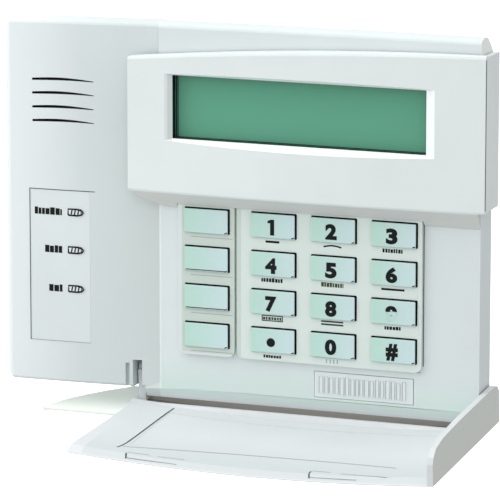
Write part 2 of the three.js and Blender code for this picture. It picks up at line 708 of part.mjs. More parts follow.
function terminalX(i) {
  return TERMINAL.left + TERMINAL.pitch * (i + 0.5);
}

function terminalBlock() {
  const right = TERMINAL.left + TERMINAL.pitch * TERMINAL.count;
  const block = box(TERMINAL.left, right, TERMINAL.back, BOARD_BACK - 0.1, TERMINAL.bottom, TERMINAL.top);
  const cuts = [];
  for (let i = 0; i < TERMINAL.count; i++) {
    const x = terminalX(i);
    cuts.push(rodF(x, CLAMP.z, TERMINAL.back - 1, CLAMP.floor, CLAMP.boreRadius, 18));
    cuts.push(box(x - WIRE_ENTRY.half, x + WIRE_ENTRY.half, WIRE_ENTRY.back, WIRE_ENTRY.front,
      WIRE_ENTRY.bottom, WIRE_ENTRY.top));
  }
  return cutBy(block, cuts);
}

function terminalScrew(i) {
  const x = terminalX(i);
  const head = rodF(x, CLAMP.z, CLAMP.back, CLAMP.front, CLAMP.screwRadius, 18);
  return head.subtract(box(x - 1.6, x + 1.6, CLAMP.back - 1, CLAMP.back + 0.8, CLAMP.z - 0.35, CLAMP.z + 0.35));
}

const CHIP = { left: 60, right: 74, bottom: 40, top: 54, back: 1.6, front: 3.2 };
const LEG = { count: 8, pitch: 1.6, width: 0.7, reach: 1.6, thickness: 0.5, first: 1.2 };

// Flat package with gull-wing legs down both sides.
function controllerChip() {
  const body = box(CHIP.left, CHIP.right, CHIP.back, CHIP.front, CHIP.bottom, CHIP.top);
  const outerLeft = CHIP.left - LEG.reach;
  const outerRight = CHIP.right + LEG.reach;
  const legs = [];
  for (let i = 0; i < LEG.count; i++) {
    const z = CHIP.bottom + LEG.first + i * LEG.pitch;
    legs.push(box(outerLeft, outerRight, 2.2, 2.6, z, z + LEG.width));
    legs.push(box(outerLeft, outerLeft + LEG.thickness, 2.3, BOARD_BACK - 0.1, z, z + LEG.width));
    legs.push(box(outerRight - LEG.thickness, outerRight, 2.3, BOARD_BACK - 0.1, z, z + LEG.width));
  }
  return joined([body, ...legs]);
}

const CAN = { x: 134, z: 52, radius: 4, back: -2.6, rimRadius: 3.4, rimBack: -3 };

function capacitor() {
  const body = rodF(CAN.x, CAN.z, CAN.back, BOARD_BACK - 0.1, CAN.radius, 28);
  return body.add(rodF(CAN.x, CAN.z, CAN.rimBack, CAN.back + 0.4, CAN.rimRadius, 28));
}

const CRYSTAL = { left: 79, right: 88, bottom: 44.5, top: 48.8, back: 0.6, corner: 2 };

function crystal() {
  return roundedSlab(CRYSTAL.left, CRYSTAL.right, CRYSTAL.bottom, CRYSTAL.top,
    CRYSTAL.back, BOARD_BACK - 0.1, CRYSTAL.corner);
}

const TAMPER = { left: 36, right: 46, bottom: 26, top: 32, back: -0.4 };
const LEVER = { left: 38, right: 40.4, bottom: 28, top: 30, back: -2.9 };

// Switch whose lever is held in by the wall plate.
function tamperSwitch() {
  const body = box(TAMPER.left, TAMPER.right, TAMPER.back, BOARD_BACK - 0.1, TAMPER.bottom, TAMPER.top);
  const lever = box(LEVER.left, LEVER.right, LEVER.back, TAMPER.back + 0.4, LEVER.bottom, LEVER.top);
  return body.add(lever);
}

const RIB = { count: 16, half: 0.35, height: 0.55, sideMargin: 2.2, endMargin: 1.6 };

function ribbedPatch() {
  const base = box(PATCH.left, PATCH.right, LOWER_DEPTH - 0.3, LOWER_DEPTH + 0.15, PATCH.bottom, PATCH.top);
  const ribs = range(PATCH.left + RIB.sideMargin, PATCH.right - RIB.sideMargin, RIB.count - 1).map((x) =>
    box(x - RIB.half, x + RIB.half, LOWER_DEPTH, LOWER_DEPTH + RIB.height,
      PATCH.bottom + RIB.endMargin, PATCH.top - RIB.endMargin));
  return joined([base, ...ribs]);
}

// ---------- wall plate ----------
const PLATE = { left: 5, right: 178, bottom: 13, top: 126.6, front: 1.2, wall: 1.8, corner: 3 };
const CABLE_OPENING = { left: 88, right: 130, bottom: 28, top: 72, corner: 3 };
const KEYHOLES = [[30, 112], [153, 112], [30, 30], [153, 30]];
const KEYHOLE = { radius: 4, slotHalf: 2, drop: 3.5, rise: 5 };

function keyhole(x, z) {
  const { radius, slotHalf, drop, rise } = KEYHOLE;
  return rodF(x, z - drop, PLATE_BACK - 3, 2, radius, 24)
    .add(roundedSlab(x - slotHalf, x + slotHalf, z - drop - 0.5, z + rise, PLATE_BACK - 3, 2, slotHalf - 0.1));
}

function wallPlate() {
  const { left, right, bottom, top, front, wall, corner } = PLATE;
  const floor = roundedSlab(left, right, bottom, top, PLATE_BACK, PLATE_BACK + wall, corner);
  const rim = roundedSlab(left, right, bottom, top, PLATE_BACK + 1, front, corner)
    .subtract(roundedSlab(left + wall, right - wall, bottom + wall, top - wall, PLATE_BACK, front + 2, 1.4));
  const cableOpening = roundedSlab(CABLE_OPENING.left, CABLE_OPENING.right, CABLE_OPENING.bottom,
    CABLE_OPENING.top, PLATE_BACK - 3, 2, CABLE_OPENING.corner);
  return cutBy(floor.add(rim), [cableOpening, ...KEYHOLES.map(([x, z]) => keyhole(x, z))]);
}

// ---------- door, drawn closed and then folded down ----------
const CARD = { left: 67.4, right: 180.6, bottom: 24.5, top: 63.6 };
const FLANGE_BACK = 2.2;
// The door's left edge leans outward from the bend up to the free edge.
const DOOR_EDGE = { top: 47.8, bend: 51, bendZ: 18.5, bottom: HEAD_LEFT };
const FIN = { rootF: 20.6, rootZ: 17.85, lean: 0.33, thickness: 1.4, tip: 0.25 };
// Width of the fin at stations along X, from its point to its root on the door.
const FIN_OUTLINE = [[14.1, 0], [17, 3.2], [21, 6.2], [28, 10], [35, 13.4], [41, 15.8], [44, 17.2], [56, 17.4]];

function doorProfile(x) {
  const outer = frontBow(x);
  const inner = outer - DOOR_WALL;
  const low = Math.max(outer - DOOR_THIN_WALL, DOOR_THIN_DEPTH);
  const bevel = (DOOR_WALL * (HEAD_BOTTOM - BAND_BOTTOM)) / (outer - BAND_BACK_DEPTH) + 0.5;
  return [
    [outer - 0.4, DOOR_BOTTOM],
    [outer, DOOR_BOTTOM + 0.8],
    [outer, DOOR_TOP],
    [outer - 0.3, DOOR_TOP],
    [inner, DOOR_TOP - bevel],
    [inner, LEDGE.top],
    [Math.min(LEDGE.depth, inner - 0.01), LEDGE.crest],
    [Math.min(LEDGE.depth, inner - 0.01), LEDGE.bottom],
    [low, LEDGE.bottom - 0.3],
    [low, DOOR_BOTTOM],
  ];
}

function doorFlange() {
  const outline = [
    [FLANGE_BACK + 3, DOOR_BOTTOM], [HEAD_EDGE_DEPTH - 1.2, DOOR_BOTTOM],
    [HEAD_EDGE_DEPTH, DOOR_BOTTOM + 1.2], [HEAD_EDGE_DEPTH, DOOR_TOP], [HEAD_EDGE_DEPTH - 8, DOOR_TOP],
    [FLANGE_BACK + 4.5, DOOR_TOP - 1], [FLANGE_BACK + 2, DOOR_TOP - 4], [FLANGE_BACK + 0.6, DOOR_TOP - 12],
    [FLANGE_BACK, DOOR_TOP - 30], [FLANGE_BACK, DOOR_BOTTOM + 5], [FLANGE_BACK + 0.8, DOOR_BOTTOM + 2],
  ];
  return loft([CHEEK_LEFT, HEAD_RIGHT], () => outline);
}

// Swept fin that leaves the lower left corner of the door and tapers to a point.
function doorFin() {
  const { rootF, rootZ, lean, thickness } = FIN;
  return loft(FIN_OUTLINE.map(([x]) => x), (x) => {
    const width = Math.max(FIN.tip, FIN_OUTLINE.find(([station]) => station === x)[1]);
    const edgeF = rootF - lean * width;
    const edgeZ = rootZ - width;
    return [[rootF, rootZ], [edgeF, edgeZ], [edgeF + thickness, edgeZ], [rootF + thickness * 0.6, rootZ]];
  });
}

function door() {
  const stations = [DOOR_EDGE.top, ...range(53, HEAD_RIGHT - 1.5, 18), HEAD_RIGHT];
  const { top, bend, bendZ, bottom } = DOOR_EDGE;
  const trimmed = slab([[40, -5], [bottom, -5], [bottom, bendZ], [bend, bendZ], [top, DOOR_TOP + 1],
    [40, DOOR_TOP + 1]], 0, 30);
  const skin = loft(stations, doorProfile).subtract(trimmed);
  const arm = joined([
    rodX(ARM_LEFT, ARM_RIGHT, HINGE_F, HINGE_Z, 2.9, 28),
    box(ARM_LEFT, ARM_RIGHT, HINGE_F, DOOR_THIN_DEPTH + 0.4, HINGE_Z - 2.9, ARM_TOP),
  ]);
  const cardSeat = loft(range(CARD.left, CARD.right, 10), (x) => {
    const inner = frontBow(x) - DOOR_WALL;
    const floor = inner + 0.7;
    const open = inner - 3;
    return [[floor, CARD.bottom], [floor, CARD.top], [open, CARD.top], [open, CARD.bottom]];
  });
  const bores = [rodX(ARM_LEFT - 1, ARM_RIGHT + 1, HINGE_F, HINGE_Z, PIN_RADIUS + 0.1),
    rodX(CHEEK_LEFT - 1, HEAD_RIGHT - 0.8, HINGE_F, HINGE_Z, PIN_RADIUS + 0.1)];
  const solid = joined([skin.subtract(cardSeat), doorFlange(), arm, doorFin()]);
  return opened(cutBy(solid, bores));
}

function doorCard() {
  const gap = 0.4;
  const stations = range(CARD.left + gap, CARD.right - gap, 10);
  return opened(loft(stations, (x) => {
    const inner = frontBow(x) - DOOR_WALL;
    return [[inner + 0.55, CARD.bottom + gap], [inner + 0.55, CARD.top - gap],
      [inner + 0.15, CARD.top - gap], [inner + 0.15, CARD.bottom + gap]];
  }));
}

function hingePin(x0, x1) {
  return rodX(x0, x1, HINGE_F, HINGE_Z, PIN_RADIUS, 24);
}

// ---------- assembly ----------
function build() {
  const panel = new THREE.Group();
  panel.name = "alarm_keypad_panel";
  panel.add(piece("front_case", frontCase(), "shell"));
  panel.add(piece("wall_plate", wallPlate(), "plate"));
  panel.add(piece("display_head", displayHead(), "head"));
  panel.add(piece("display_window", displayWindow(), "screen"));
  panel.add(piece("lcd_board", lcdBoard(), "board"));
  panel.add(piece("lcd_frame", lcdFrame(), "steel"));
  panel.add(piece("lcd_glass", lcdGlass(), "screen"));
  panel.add(piece("lcd_backlight", lcdBacklight(), "plate"));
  panel.add(piece("ribbon_cable", ribbonCable(), "darkPlastic"));
  panel.add(piece("main_board", mainBoard(), "board"));
  panel.add(piece("keypad_mat", keypadMat(), "silicone"));
  for (const cell of keyCells()) panel.add(piece(cell.name, keyCap(cell), "key"));
  STATUS_ROWS.forEach((z, i) => {
    panel.add(piece(`status_light_${i + 1}`, statusLight(z), "lens"));
    panel.add(piece(`light_pipe_${i + 1}`, lightPipe(z), "label"));
  });
  panel.add(piece("status_label", statusLabel(), "label"));
  panel.add(piece("sounder", sounder(), "darkPlastic"));
  panel.add(piece("terminal_block", terminalBlock(), "greenPlastic"));
  for (let i = 0; i < TERMINAL.count; i++) {
    panel.add(piece(`terminal_screw_${i + 1}`, terminalScrew(i), "steel"));
  }
  panel.add(piece("controller_chip", controllerChip(), "darkPlastic"));
  panel.add(piece("capacitor", capacitor(), "darkPlastic"));
  panel.add(piece("crystal", crystal(), "steel"));
  panel.add(piece("tamper_switch", tamperSwitch(), "darkPlastic"));
  MAIN_SCREWS.forEach(([x, z], i) => panel.add(piece(`board_screw_${i + 1}`, boardScrew(x, z), "steel")));
  LCD_SCREWS.forEach(([x, z], i) => panel.add(piece(`lcd_screw_${i + 1}`, boardScrew(x, z), "steel")));
  panel.add(piece("ribbed_patch", ribbedPatch(), "label"));
  panel.add(piece("door", door(), "door"));
  panel.add(piece("door_card", doorCard(), "label"));
  panel.add(piece("hinge_pin_left", hingePin(ARM_LEFT - 2, ARM_RIGHT + 2), "steel"));
  panel.add(piece("hinge_pin_right", hingePin(181.4, HEAD_RIGHT - 1.1), "steel"));
  return panel;
}

export default build();
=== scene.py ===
"""Look of the alarm keypad panel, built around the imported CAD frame."""

import json
import math
import random

import bmesh
import bpy
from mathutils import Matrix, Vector


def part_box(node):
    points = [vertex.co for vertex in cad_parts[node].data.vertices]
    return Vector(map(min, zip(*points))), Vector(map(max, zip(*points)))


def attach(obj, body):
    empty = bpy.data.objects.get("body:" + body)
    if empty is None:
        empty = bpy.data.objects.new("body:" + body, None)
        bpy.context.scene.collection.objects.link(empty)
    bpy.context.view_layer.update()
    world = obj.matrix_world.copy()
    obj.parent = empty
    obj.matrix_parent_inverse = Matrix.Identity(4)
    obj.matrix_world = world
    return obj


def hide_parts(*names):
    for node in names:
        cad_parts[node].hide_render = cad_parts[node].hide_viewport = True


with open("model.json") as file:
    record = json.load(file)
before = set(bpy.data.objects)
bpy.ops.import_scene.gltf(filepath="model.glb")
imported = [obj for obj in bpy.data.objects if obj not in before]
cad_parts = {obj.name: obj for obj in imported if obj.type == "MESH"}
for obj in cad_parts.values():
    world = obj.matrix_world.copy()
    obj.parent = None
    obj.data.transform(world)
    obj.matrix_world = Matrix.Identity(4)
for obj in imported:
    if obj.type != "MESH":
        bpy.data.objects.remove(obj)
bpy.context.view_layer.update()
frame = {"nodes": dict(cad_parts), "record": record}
NODES = frame["nodes"]
MM = 0.001

# Positions are written as on the CAD drawing: X to the right, front depth F toward the viewer and Z up,
# in millimetres. The front case gives the drawing's zero point.
CASE_LOW, CASE_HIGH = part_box("front_case")
LIP_BOTTOM = -2.65
HINGE_F = 5.05
HINGE_Z = 6.65
OPEN_ANGLE = math.radians(94.5)
FRONT = Vector((0, -1, 0))
WING_DEPTH = 15.2
WING_SWEEP = 3.2
CREASE_X = 59.8
HEAD_MIDDLE = 117.7
HEAD_HALF = 68.3
HEAD_EDGE_DEPTH = 17.0
HEAD_BOW = 2.75
DOOR_THICKNESS = 2.2
# Prints and seams lie this far in front of their surface.
LIFT = 0.01


def place(x, f, z):
    """Point in the frame, in metres, for a position on the drawing."""
    return Vector((CASE_LOW.x + x * MM, CASE_HIGH.y - f * MM, CASE_LOW.z + (z - LIP_BOTTOM) * MM))


def folded(x, f, z):
    """Point of the open door for a position drawn on the closed door."""
    back = HINGE_F - f
    rise = z - HINGE_Z
    turned_y = back * math.cos(OPEN_ANGLE) - rise * math.sin(OPEN_ANGLE)
    turned_z = back * math.sin(OPEN_ANGLE) + rise * math.cos(OPEN_ANGLE)
    return place(x, HINGE_F - turned_y, HINGE_Z + turned_z)


def wing_depth(x):
    """Front depth of the wing at x."""
    return WING_DEPTH - WING_SWEEP * (x / CREASE_X) ** 2


def front_bow(x):
    """Front depth of the bowed head and closed door at x."""
    u = (x - HEAD_MIDDLE) / HEAD_HALF
    return HEAD_EDGE_DEPTH + HEAD_BOW * (1 - u * u)


# ---------------------------------------------------------------- materials
DRIFT_SCALE = 14
GLOSS_SCALE = 900
GRAIN_SCALE = 2600
GRAIN_DEPTH = 0.05 * MM
FINE_GRAIN_DEPTH = 0.02 * MM
CREVICE_REACH = 2.2 * MM
PLASTIC_SHEEN = 0.3
INK_SHEEN = 0.15


def srgb(r, g, b):
    """Linear colour of an 8-bit sRGB triple."""
    def channel(v):
        v /= 255
        return v / 12.92 if v <= 0.04045 else ((v + 0.055) / 1.055) ** 2.4
    return (channel(r), channel(g), channel(b), 1.0)


def scaled(colour, factor, lift=0.0):
    """Darker or paler version of a linear colour."""
    return tuple(min(1.0, c * factor + lift) for c in colour[:3]) + (1.0,)


class Nodes:
    """Small helper around a node tree."""

    def __init__(self, tree):
        self.tree = tree

    def node(self, kind, **values):
        """Adds a node. Each value is one of its settings, or an input with _ for a space."""
        n = self.tree.nodes.new(kind)
        for key, value in values.items():
            if hasattr(n, key):
                setattr(n, key, value)
            else:
                n.inputs[key.replace("_", " ")].default_value = value
        return n

    def link(self, a, b):
        self.tree.links.new(a, b)

    def feed(self, value, socket):
        """Links an output to the socket, or sets a plain value."""
        if hasattr(value, "is_output"):
            self.link(value, socket)
        else:
            socket.default_value = value

    def split(self, vector):
        """X, Y and Z of a vector."""
        parts = self.node("ShaderNodeSeparateXYZ")
        self.link(vector, parts.inputs[0])
        return parts.outputs

    def remap(self, value, low, high, from_low=0.0, from_high=1.0):
        """Value stretched so that from_low gives low and from_high gives high."""
        n = self.node("ShaderNodeMapRange", From_Min=from_low, From_Max=from_high, To_Min=low, To_Max=high)
        self.link(value, n.inputs["Value"])
        return n.outputs["Result"]

    def mix(self, factor, a, b):
        n = self.node("ShaderNodeMix", data_type="RGBA")
        self.feed(factor, n.inputs[0])
        self.feed(a, n.inputs[6])
        self.feed(b, n.inputs[7])
        return n.outputs[2]

    def math(self, operation, a, b):
        n = self.node("ShaderNodeMath", operation=operation)
        self.feed(a, n.inputs[0])
        self.feed(b, n.inputs[1])
        return n.outputs[0]

    def product(self, *factors):
        result = 1.0
        for factor in factors:
            result = self.math("MULTIPLY", result, factor)
        return result


class Graph(Nodes):
    """Node tree of a new material, with masks written in the drawing's positions."""

    def __init__(self, name):
        self.mat = bpy.data.materials.new(name)
        self.mat.use_nodes = True
        super().__init__(self.mat.node_tree)
        self.bsdf = self.tree.nodes["Principled BSDF"]
        self.coords = self.node("ShaderNodeTexCoord").outputs["Object"]

    def surface(self, name, value):
        """Feeds one input of the surface shader."""
        self.feed(value, self.bsdf.inputs[name])

    def bump(self, height, strength, distance):
        n = self.node("ShaderNodeBump", Strength=strength, Distance=distance)
        self.link(height, n.inputs["Height"])
        self.surface("Normal", n.outputs["Normal"])

    def noise(self, scale, detail=3.0, roughness=0.5, stretch=(1, 1, 1)):
        mapping = self.node("ShaderNodeMapping", Scale=stretch)
        self.link(self.coords, mapping.inputs["Vector"])
        n = self.node("ShaderNodeTexNoise", Scale=scale, Detail=detail, Roughness=roughness)
        self.link(mapping.outputs["Vector"], n.inputs["Vector"])
        return n.outputs["Fac"]

    def drawn(self):
        """X, F and Z on the drawing, in millimetres."""
        x, y, z = self.split(self.coords)
        return {
            "x": self.math("MULTIPLY", self.math("SUBTRACT", x, CASE_LOW.x), 1 / MM),
            "f": self.math("MULTIPLY", self.math("SUBTRACT", y, CASE_HIGH.y), -1 / MM),
            "z": self.math("MULTIPLY", self.math("SUBTRACT", z, place(0, 0, 0).z), 1 / MM),
        }

    def closed(self):
        """The same on the open door, for positions drawn on the closed door."""
        axes = self.drawn()
        back = self.math("SUBTRACT", HINGE_F, axes["f"])
        rise = self.math("SUBTRACT", axes["z"], HINGE_Z)
        cos = math.cos(OPEN_ANGLE)
        sin = math.sin(OPEN_ANGLE)
        closed_back = self.math("ADD", self.product(back, cos), self.product(rise, sin))
        closed_rise = self.math("SUBTRACT", self.product(rise, cos), self.product(back, sin))
        return {
            "x": axes["x"],
            "f": self.math("SUBTRACT", HINGE_F, closed_back),
            "z": self.math("ADD", HINGE_Z, closed_rise),
        }

    def zone(self, axes=None, **limits):
        """1 inside the given limits along x, f and z, 0 outside."""
        axes = axes or self.drawn()
        sides = []
        for axis, (low, high) in limits.items():
            sides.append(self.math("GREATER_THAN", axes[axis], low))
            sides.append(self.math("LESS_THAN", axes[axis], high))
        return self.product(*sides)

    def fade(self, axes=None, **spans):
        """Product of ramps along x, f and z, each from 0 at its first position to 1 at its second."""
        axes = axes or self.drawn()
        return self.product(*(self.remap(axes[axis], 0.0, 1.0, *span) for axis, span in spans.items()))

    def deeper(self, axes, cover, middle, half, depth, bow):
        """1 where a point lies more than cover behind a bowed front surface."""
        across = self.math("MULTIPLY", self.math("SUBTRACT", axes["x"], middle), 1 / half)
        drop = self.product(across, across, bow)
        return self.math("LESS_THAN", axes["f"], self.math("SUBTRACT", depth - cover, drop))

    def under_wing(self, cover, region):
        """1 inside the region and more than cover behind the wing's front."""
        axes = self.drawn()
        return self.product(self.zone(axes, **region),
                            self.deeper(axes, cover, 0, CREASE_X, WING_DEPTH, WING_SWEEP))

    def under_bow(self, cover, region, axes=None):
        """1 inside the region and more than cover behind the front of the head or closed door."""
        axes = axes or self.drawn()
        middle_depth = HEAD_EDGE_DEPTH + HEAD_BOW
        return self.product(self.zone(axes, **region),
                            self.deeper(axes, cover, HEAD_MIDDLE, HEAD_HALF, middle_depth, HEAD_BOW))


def moulded_plastic(name, colour, roughness=0.42, grain=0.12, shade=0.94, crevice_shade=0.75, zones=()):
    """Moulded plastic: faint colour drift, fine grain, painted shade in the crevices and zones of their
    own colour, most of them painted shade or painted highlights.
    """
    g = Graph(name)
    base = srgb(*colour)
    drift = g.remap(g.noise(DRIFT_SCALE, roughness=0.55), 0.0, 1.0, 0.35, 0.65)
    tone = g.mix(drift, scaled(base, shade), base)
    # Painted shade: crevices found by ambient occlusion are darkened.
    ao = g.node("ShaderNodeAmbientOcclusion", samples=4, Distance=CREVICE_REACH)
    shadowed = g.mix(g.remap(ao.outputs["AO"], 0.0, 1.0, 0.25, 0.85), scaled(base, crevice_shade), tone)
    for mask, tint in zones:
        shadowed = g.mix(mask(g), shadowed, srgb(*tint))
    g.surface("Base Color", shadowed)
    gloss = g.noise(GLOSS_SCALE, detail=2, roughness=0.6)
    g.surface("Roughness", g.remap(gloss, roughness - 0.05, roughness + 0.06))
    g.surface("Specular IOR Level", PLASTIC_SHEEN)
    g.bump(g.noise(GRAIN_SCALE, detail=2, roughness=0.6), grain, GRAIN_DEPTH)
    return g.mat


def brushed_metal(name, colour, roughness=0.35):
    """Metal with fine streaks along Z."""
    g = Graph(name)
    base = srgb(*colour)
    streaks = g.noise(300, detail=4, roughness=0.6, stretch=(1, 1, 40))
    g.surface("Base Color", g.mix(streaks, scaled(base, 0.7), base))
    g.surface("Roughness", g.remap(streaks, roughness - 0.1, roughness + 0.15))
    g.surface("Metallic", 1.0)
    g.bump(streaks, 0.1, FINE_GRAIN_DEPTH)
    return g.mat


def circuit_board(name):
    """Green solder mask over faint copper traces."""
    g = Graph(name)
    traces = g.node("ShaderNodeTexBrick", Scale=260, Color1=srgb(24, 92, 48), Color2=srgb(30, 108, 56),
                    Mortar=srgb(70, 150, 84))
    mapping = g.node("ShaderNodeMapping", Rotation=(math.pi / 2, 0, 0))
    g.link(g.coords, mapping.inputs["Vector"])
    g.link(mapping.outputs["Vector"], traces.inputs["Vector"])
    g.surface("Base Color", g.mix(g.noise(60), traces.outputs["Color"], srgb(20, 78, 40)))
    g.surface("Roughness", 0.35)
    g.bump(traces.outputs["Fac"], 0.15, GRAIN_DEPTH)
    return g.mat


def rubber(name, colour, roughness=0.7):
    """Dull silicone with an uneven tone."""
    g = Graph(name)
    base = srgb(*colour)
    g.surface("Base Color", g.mix(g.noise(120), base, scaled(base, 1.15)))
    g.surface("Roughness", g.remap(g.noise(700), roughness - 0.08, roughness + 0.1))
    g.bump(g.noise(1800, detail=2), 0.2, GRAIN_DEPTH)
    return g.mat


def key_rubber(name, left, right):
    """Soft key tops with painted shading across each key: green on the left, bluer to the right."""
    g = Graph(name)
    across = g.split(g.node("ShaderNodeTexCoord").outputs["Generated"])[0]
    g.surface("Base Color", g.mix(g.remap(across, 0.0, 1.0, 0.1, 0.9), srgb(*left), srgb(*right)))
    g.surface("Roughness", g.remap(g.noise(700), 0.3, 0.42))
    g.surface("Specular IOR Level", PLASTIC_SHEEN)
    g.bump(g.noise(2200, detail=2), 0.06, 0.04 * MM)
    return g.mat


def matt_colour(name, colour):
    """Matt colour with a slightly uneven tone, used for printed ink and for lines of painted shade."""
    g = Graph(name)
    base = srgb(*colour)
    g.surface("Base Color", g.mix(g.noise(1500), base, scaled(base, 1.5, 0.004)))
    g.surface("Roughness", g.remap(g.noise(GLOSS_SCALE), 0.5, 0.75))
    g.surface("Specular IOR Level", INK_SHEEN)
    g.bump(g.noise(2500, detail=2), 0.08, FINE_GRAIN_DEPTH)
    return g.mat


# Regions of the drawing that get a colour of their own, in millimetres. Most stand for painted shade or
# painted highlights.
WING = {"x": (-1, CREASE_X)}
WING_LEFT = {"x": (-1, 30)}
SPEAKER_SLOTS = {"x": (10, 36), "z": (96, 116)}
HOUSING_FOOT = {"x": (CREASE_X, 183.2), "z": (-1, 14), "f": (9, 12.9)}
CASE_RIGHT_END = {"x": (183.2, 184), "z": (130, 139)}
BLANK_KEY_PAD = {"x": (69.4, 92.6), "z": (16, 74), "f": (12.7, 14.3)}
NUMBER_KEY_PAD = {"x": (92.6, 162), "z": (14, 74), "f": (12.7, 14.3)}
BLANK_KEY_OPENINGS = {"x": (69, 89.4), "z": (17, 72), "f": (6, 14)}
NUMBER_KEY_OPENINGS = {"x": (92, 161.2), "z": (17, 72), "f": (6, 14)}
SCREEN_FLARE = {"x": (66, 172), "z": (90, 124)}
SCREEN_FLARE_LEFT = {"x": (60, 67.05), "z": (94, 121)}
BEHIND_FLARE = {"x": (60, 170), "z": (90, 124), "f": (6, 17.17)}
HEAD_UNDERSIDE = {"x": (50, 184), "z": (66, 78)}
DOOR_LOWER_WALL = {"x": (53.2, 183.6), "z": (-1.2, 15.3)}
DOOR_GAP = {"x": (53.2, 183.6), "z": (9.6, 15.3)}
DOOR_INSIDE_TOP = {"x": (53.2, 183.6), "z": (40, 76)}
DOOR_FIN = {"x": (0, 47.7)}
DOOR_RIGHT_SIDE = {"x": (185.9, 187)}

# Each zone is a mask and the colour under it; later zones cover earlier ones.
# Near black, used as painted shade in slots, openings and recesses.
DEEP_SHADE = (14, 15, 15)
SHELL_ZONES = (
    # Painted shade: the wing darkens towards the crease and towards its lower part.
    (lambda g: g.product(g.zone(**WING), g.fade(x=(5, CREASE_X), z=(150, 100))), (206, 215, 214)),
    # Painted light: the wing is paler towards its left edge.
    (lambda g: g.product(g.zone(**WING_LEFT), g.fade(x=(30, 0))), (234, 240, 242)),
    (lambda g: g.product(g.zone(**HOUSING_FOOT), g.fade(z=(14, 4))), (211, 227, 222)),
    # Painted highlight on the rounded right end of the case top.
    (lambda g: g.zone(**CASE_RIGHT_END), (246, 251, 247)),
    # Painted shade: the inside of the speaker slots is near black.
    (lambda g: g.under_wing(0.08, SPEAKER_SLOTS), DEEP_SHADE),
    (lambda g: g.zone(**BLANK_KEY_PAD), (205, 217, 210)),
    (lambda g: g.zone(**NUMBER_KEY_PAD), (219, 231, 226)),
    # Painted shade: the key openings are near black around the keys.
    (lambda g: g.zone(**BLANK_KEY_OPENINGS), DEEP_SHADE),
    (lambda g: g.zone(**NUMBER_KEY_OPENINGS), DEEP_SHADE),
)
HEAD_ZONES = (
    # Painted highlight on the bevels of the screen recess.
    (lambda g: g.under_bow(0.05, SCREEN_FLARE), (250, 255, 255)),
    # Painted shade on the recess's left slope, darker further back.
    (lambda g: g.under_bow(0.05, SCREEN_FLARE_LEFT), (226, 232, 233)),
    (lambda g: g.under_bow(0.4, SCREEN_FLARE_LEFT), (208, 215, 215)),
    # Painted shade: the deep part of the screen recess is near black.
    (lambda g: g.zone(**BEHIND_FLARE), DEEP_SHADE),
    # Painted shade on the head's underside.
    (lambda g: g.under_bow(0.5, HEAD_UNDERSIDE), (212, 215, 212)),
)
DOOR_ZONES = (
    # Painted shade: the door's lower wall is brown grey.
    (lambda g: g.under_bow(0.6, DOOR_LOWER_WALL, g.closed()), (148, 142, 132)),
    # Painted shade: the gap under the housing is near black, a little lighter at its left end.
    (lambda g: g.product(g.under_bow(0.6, DOOR_GAP, g.closed()), g.remap(g.drawn()["x"], 0.7, 1, 64, 110)),
     (26, 22, 19)),
    (lambda g: g.product(g.under_bow(0.6, DOOR_INSIDE_TOP, g.closed()), g.fade(g.closed(), z=(46, 70))),
     (210, 216, 218)),
    # Painted light: the fin is paler, to offset the shadow the case casts on it.
    (lambda g: g.zone(g.closed(), **DOOR_FIN), (247, 252, 246)),
    # Painted shade on the door's right side.
    (lambda g: g.zone(g.closed(), **DOOR_RIGHT_SIDE), (208, 212, 207)),
)
MATERIALS = {
    "shell": moulded_plastic("shell_plastic", (224, 232, 233), zones=SHELL_ZONES),
    "head": moulded_plastic("head_plastic", (230, 237, 237), 0.38, zones=HEAD_ZONES),
    "door": moulded_plastic("door_plastic", (224, 228, 230), 0.38, zones=DOOR_ZONES),
    "key": key_rubber("key_rubber", (188, 223, 211), (204, 226, 228)),
    "screen": moulded_plastic("screen_green", (98, 168, 140), 0.12, 0.02, 0.97, crevice_shade=0.97),
    "glass": moulded_plastic("lcd_glass", (94, 157, 131), 0.1, 0.02, 0.97),
    "label": moulded_plastic("label_film", (226, 234, 235), 0.5),
    "plate": moulded_plastic("plate_plastic", (214, 219, 217), 0.5),
    "silicone": rubber("mat_silicone", (185, 189, 186)),
    "dark_plastic": moulded_plastic("dark_plastic", (45, 47, 50), 0.5, 0.2),
    "steel": brushed_metal("steel", (190, 195, 198)),
    "green_plastic": moulded_plastic("terminal_plastic", (40, 138, 84), 0.45),
    "lens": moulded_plastic("lamp_red", (150, 40, 32), 0.2, 0.02),
    "board": circuit_board("solder_mask"),
}
# Black ink for print, also used as painted shade around the screen.
BLACK_INK_AND_SHADE = matt_colour("black_ink_and_shade", (16, 18, 18))
DARK_INK = matt_colour("dark_ink", (52, 60, 57))
FAINT_INK_AND_SHADE = matt_colour("faint_ink_and_shade", (150, 160, 154))
OLIVE_INK = matt_colour("olive_ink", (62, 66, 34))
# Painted shade: seam and crease lines, the near-black sides of the keys and the green shade at the
# screen's left end.
SEAM = matt_colour("seam_shadow", (60, 60, 58))
SOFT_SEAM_SHADOW = matt_colour("soft_seam_shadow", (150, 152, 146))
KEY_SIDE_SHADE = matt_colour("key_side_shade", (12, 13, 13))
SCREEN_SHADE_GREEN = matt_colour("screen_shade_green", (50, 96, 82))


# ---------------------------------------------------------------- CAD nodes
ROUNDED_NODES = ("front_case", "display_head", "door", "wall_plate", "display_window")


def smooth_shading(obj):
    for poly in obj.data.polygons:
        poly.use_smooth = True


def round_edges(obj, width, segments, angle):
    """Rounds the edges sharper than angle, in degrees, by width in millimetres."""
    bevel = obj.modifiers.new("round", "BEVEL")
    bevel.width = width * MM
    bevel.segments = segments
    bevel.limit_method = "ANGLE"
    bevel.angle_limit = math.radians(angle)
    bevel.harden_normals = True
    smooth_shading(obj)


